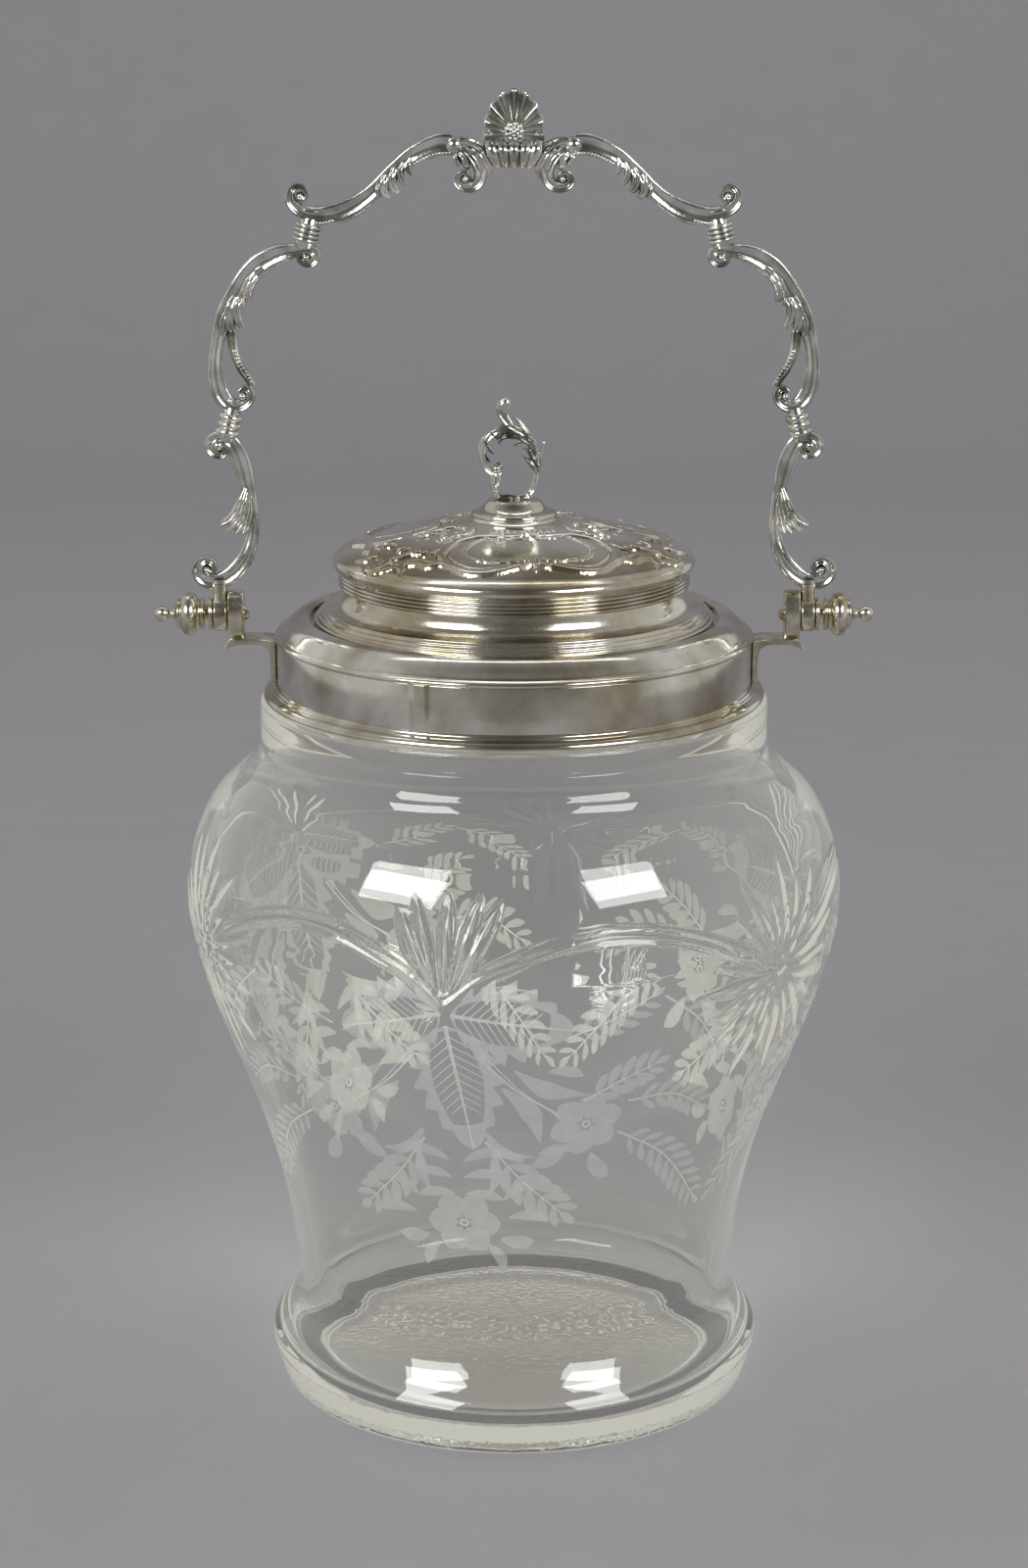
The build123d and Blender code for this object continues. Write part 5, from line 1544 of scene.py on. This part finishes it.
    def shell(self) -> Form:
        """Makes the crest's fan of nine lobes, hollow between its ribs, alike on both faces.

        Returns:
            The form.
        """
        lobes, rows, columns = 9, 26, 181
        fan = np.linspace(-1.0, 1.0, columns)
        angle = np.radians(90 - fan * 108)
        ripple = np.abs(np.cos(fan * lobes * math.pi / 2))
        edge = 1 - 0.10 * (1 - ripple) ** 1.5
        reach = np.linspace(0.0, 1.0, rows)[:, None]
        x = 6.0 * reach * edge * np.cos(angle)
        z = 255.0 + 8.35 * reach * edge * np.sin(angle)
        hollow = 0.3 + 1.25 * (1 - ripple) * reach ** 0.5 + 0.3 * reach ** 3 + 0.6 * (1 - reach) ** 2
        hollow = hollow * np.where(reach > 0.97, 0.55, 1.0)
        form = Form()
        front, back = (np.stack([x, face * hollow, z], axis=-1) for face in (1, -1))
        # Both faces, then the rim and the two straight sides between them
        for net in (front, back, np.stack([front[-1], back[-1]]), np.stack([front[:, 0], back[:, 0]]),
                    np.stack([front[:, -1], back[:, -1]])):
            form.grid(net)
        return form

    def flowers(self) -> Form:
        """Makes the flower on each face of the shell: rings of balls (count, reach and radius).

        Returns:
            The form.
        """
        form = Form()
        for face in (1, -1):
            for ring, (count, reach, size) in enumerate(((9, 1.45, 0.52), (6, 0.75, 0.45), (1, 0.0, 0.5))):
                for index in range(count):
                    turn = 2 * math.pi * (index + ring * 0.5) / count
                    form.ball((reach * math.cos(turn), face * (1.15 + ring * 0.35),
                               255.2 + reach * math.sin(turn)), size, fine=8)
        return form

    def calyx(self) -> Form:
        """Makes the lobed calyx under the shell, with an acanthus scroll on each side.

        Returns:
            The form.
        """
        form = Form()
        form.strand([(0.0, 253.2), (0.0, 250.6), (0.0, 248.4)], [4.8, 4.6, 2.6], [1.5, 1.7, 1.1],
                    Section.FLAT)
        for face in (-1, 1):
            for x, lean in ((-4.1, -0.9), (-2.1, -0.4), (0.0, 0.0), (2.1, 0.4), (4.1, 0.9)):
                form.strand([(x + lean, face * 1.2, 253.6), (x + lean * 0.4, face * 2.1, 252.3),
                             (x * 0.92, face * 2.1, 250.3), (x * 0.66, face * 1.3, 248.2)],
                            [0.6, 1.05, 1.15, 0.9, 0.5], [0.5, 0.9, 1.0, 0.8, 0.4])
        half = Form()
        half.ball((11.6, 0.0, 252.5), 1.75, 0.95)
        half.strand([(11.8, 253.6), (9.4, 253.6), (7.0, 252.8), (4.8, 251.8)], [0.6, 0.8, 0.8, 0.6],
                    [1.2, 1.4, 1.4, 1.2], Section.CHANNEL)
        half.strand([(11.4, 252.0), (9.8, 252.2), (8.0, 251.0), (6.9, 249.2), (6.4, 247.2), (7.0, 245.3),
                     (8.8, 244.4), (10.5, 244.9), (11.2, 246.1), (10.5, 247.2), (9.2, 247.2),
                     (8.5, 246.2), (9.0, 245.2), (9.9, 245.4)],
                    [1.3, 1.5, 1.6, 1.55, 1.45, 1.35, 1.25, 1.15, 1.0, 0.8, 0.65, 0.5, 0.4, 0.3],
                    [1.5, 1.6, 1.8, 1.8, 1.7, 1.7, 1.6, 1.5, 1.4], Section.CHANNEL)
        half.ball((9.5, 0.0, 246.1), 0.8, 2.0)
        half.leaves(self.scroll_leaves, [0.8, 1.1, 1.1, 1.0, 0.5], [1.4, 2.0, 1.9, 1.6, 0.7])
        for side in Side:
            form.merge(half.on(side))
        return form

    def build(self) -> None:
        """Builds the crest, then both sides' arms."""
        for name, node, form, crease in (("crest_fluted_shell", "crest_shell", self.shell(), CAST_CREASE),
                                         ("crest_flower_heads", "crest_flowers", self.flowers(), CREASE),
                                         ("crest_leaf_calyx", "crest_calyx", self.calyx(), CAST_CREASE)):
            form.piece(name, [self.finish.cast], Body.HANDLE, "cast_silver", [node], crease=crease)
        for side in Side:
            for name, form in self.arms().items():
                metal, slot = ((self.finish.worn, "worn_silver") if name == "handle_eye"
                               else (self.finish.cast, "cast_silver"))
                form.on(side).piece(f"{side.value}_cast_{name}", [metal], Body.HANDLE, slot,
                                    [f"{side.value}_{name}"], crease=CAST_CREASE)


@dataclass
class Studio:
    """The plain pale floor, the soft lamps, the room and the camera."""

    floor_colour: str = "#99979B"
    room_dark: str = "#72716E"
    room_light: str = "#F4F4F2"
    room_strength: float = 0.62
    camera_place: tuple[float, float, float] = (0.0, -0.6548, 0.2959)
    pitch: float = 14.64
    focal_pixels: float = 3400.0
    frame_height: float = 1600.0

    def build(self) -> None:
        """Builds the backdrop, the lamps, the world and the camera."""
        self.build_floor()
        # Two softboxes in front light the jar from both sides, and one above lights the backdrop
        self.lamp("left_softbox", (-0.87, -0.93, 0.9), (0.0, 0.0, 0.12), 0.7, 0.5, 11.5)
        self.lamp("right_softbox", (0.87, -0.93, 0.9), (0.0, 0.0, 0.12), 0.66, 0.5, 9.5)
        self.lamp("top_softbox", (0.0, 0.5, 1.7), (0.0, 1.7, 1.05), 1.4, 0.8, 10.5)
        self.build_world()
        self.build_camera()

    def build_floor(self) -> None:
        """One sheet that runs from the floor up into the backdrop in a wide curve."""
        sheet = bpy.data.meshes.new("backdrop_sheet")
        run = [(-0.62, 0.0), (1.1, 0.0)]
        run += [(1.1 + 0.6 * math.sin(a), 0.6 - 0.6 * math.cos(a))
                for a in np.linspace(0.1, math.pi / 2, 14)]
        run.append((1.7, 3.0))
        points = [(x, y, z) for y, z in run for x in (-1.0, 1.0)]
        faces = [(2 * i, 2 * i + 1, 2 * i + 3, 2 * i + 2) for i in range(len(run) - 1)]
        sheet.from_pydata(points, [], faces)
        sheet.polygons.foreach_set("use_smooth", [True] * len(faces))
        material, tree = new_material("seamless_paper")
        place = add_node(tree, "ShaderNodeTexCoord").outputs["Object"]
        fibre = add_node(tree, "ShaderNodeTexNoise", {"Scale": 40.0, "Detail": 6.0}, {"Vector": place})
        tone = add_node(tree, "ShaderNodeMapRange", {"To Min": 0.97, "To Max": 1.03},
                        {"Value": fibre.outputs["Fac"]})
        colour = add_node(tree, "ShaderNodeMix",
                          {"data_type": "RGBA", "blend_type": "MULTIPLY", 0: 1.0,
                           MIX_A: linear_colour(self.floor_colour)}, {MIX_B: tone.outputs["Result"]})
        shader = add_node(tree, "ShaderNodeBsdfPrincipled", {"Roughness": 0.9},
                          {"Base Color": colour.outputs[MIX_OUT]})
        add_node(tree, "ShaderNodeOutputMaterial", links={"Surface": shader.outputs[0]})
        sheet.materials.append(material)
        floor = bpy.data.objects.new("backdrop_sheet", sheet)
        bpy.context.scene.collection.objects.link(floor)

    def lamp(self, name: str, place: Sequence[float], aim: Sequence[float], wide: float, high: float,
             watts: float) -> None:
        """Adds a soft rectangular lamp.

        Args:
            name: Its name.
            place: Where it stands.
            aim: Where it points.
            wide: Its width in metres.
            high: Its height in metres.
            watts: Its power.
        """
        light = bpy.data.lights.new(name, "AREA")
        light.shape = "RECTANGLE"
        light.size, light.size_y, light.energy = wide, high, watts
        made = bpy.data.objects.new(name, light)
        bpy.context.scene.collection.objects.link(made)
        made.location = place
        way = np.array(aim) - np.array(place)
        made.rotation_euler = (math.acos(-way[2] / np.linalg.norm(way)), 0.0,
                               math.atan2(way[1], way[0]) - math.pi / 2)

    def build_world(self) -> None:
        """A room for metal and glass to mirror: pale behind, low and aside, dark in front and above."""
        world = bpy.data.worlds.new("studio_room")
        bpy.context.scene.world = world
        world.use_nodes = True
        tree = world.node_tree
        tree.nodes.clear()
        place = add_node(tree, "ShaderNodeTexCoord").outputs["Generated"]
        parts = add_node(tree, "ShaderNodeSeparateXYZ", links={0: place})
        # Brighter toward the back and the sides, darker upward: Y less 0.8 of Z, and 0.4 of X either way
        lean = add_node(tree, "ShaderNodeMath", {"operation": "MULTIPLY_ADD", 1: -0.8},
                        {0: parts.outputs["Z"], 2: parts.outputs["Y"]})
        aside = add_node(tree, "ShaderNodeMath", {"operation": "ABSOLUTE"}, {0: parts.outputs["X"]})
        turned = add_node(tree, "ShaderNodeMath", {"operation": "MULTIPLY_ADD", 1: 0.4},
                          {0: aside.outputs[0], 2: lean.outputs[0]})
        front = add_node(tree, "ShaderNodeMapRange", {"From Min": -1.1, "From Max": 0.2},
                         {"Value": turned.outputs[0]})
        stops = [(0.0, linear_colour(self.room_dark)), (0.9, linear_colour(self.room_light))]
        ramp = add_node(tree, "ShaderNodeValToRGB", {"stops": stops}, {"Fac": front.outputs["Result"]})
        back = add_node(tree, "ShaderNodeBackground", {"Strength": self.room_strength},
                        {"Color": ramp.outputs["Color"]})
        add_node(tree, "ShaderNodeOutputWorld", links={"Surface": back.outputs[0]})

    def build_camera(self) -> None:
        """The camera at the photograph's distance, height and tilt."""
        lens = bpy.data.cameras.new("front_camera")
        lens.sensor_fit = "VERTICAL"
        lens.sensor_height = 36.0
        lens.lens = self.focal_pixels / self.frame_height * lens.sensor_height
        camera = bpy.data.objects.new("front_camera", lens)
        bpy.context.scene.collection.objects.link(camera)
        camera.location = self.camera_place
        camera.rotation_euler = (math.radians(90 - self.pitch), 0.0, 0.0)
        bpy.context.scene.camera = camera
        bpy.context.scene.view_settings.view_transform = "Standard"


def dress_hidden_parts(finish: Finishes) -> None:
    """Gives the small parts that keep their own shape their finish.

    Args:
        finish: The jar's materials.
    """
    for node, material in (("finial_washer", finish.brass), ("finial_nut", finish.brass),
                           ("collar_cement", finish.plaster)):
        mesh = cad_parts[node].data
        mesh.materials.clear()
        mesh.materials.append(material)
        LOG.info("%s keeps its own shape", node)


def main() -> None:
    logging.basicConfig(level=logging.INFO, format="%(name)s: %(message)s")
    finish = Finishes()
    glass = GlassBody(finish)
    for part in (glass, Engraving(finish, glass), Collar(finish), Lid(finish), Finial(finish),
                 Pivots(finish), Handle(finish)):
        part.build()
        LOG.info("%s is built", type(part).__name__)
    dress_hidden_parts(finish)
    Studio().build()


if __name__ == "__main__":
    main()
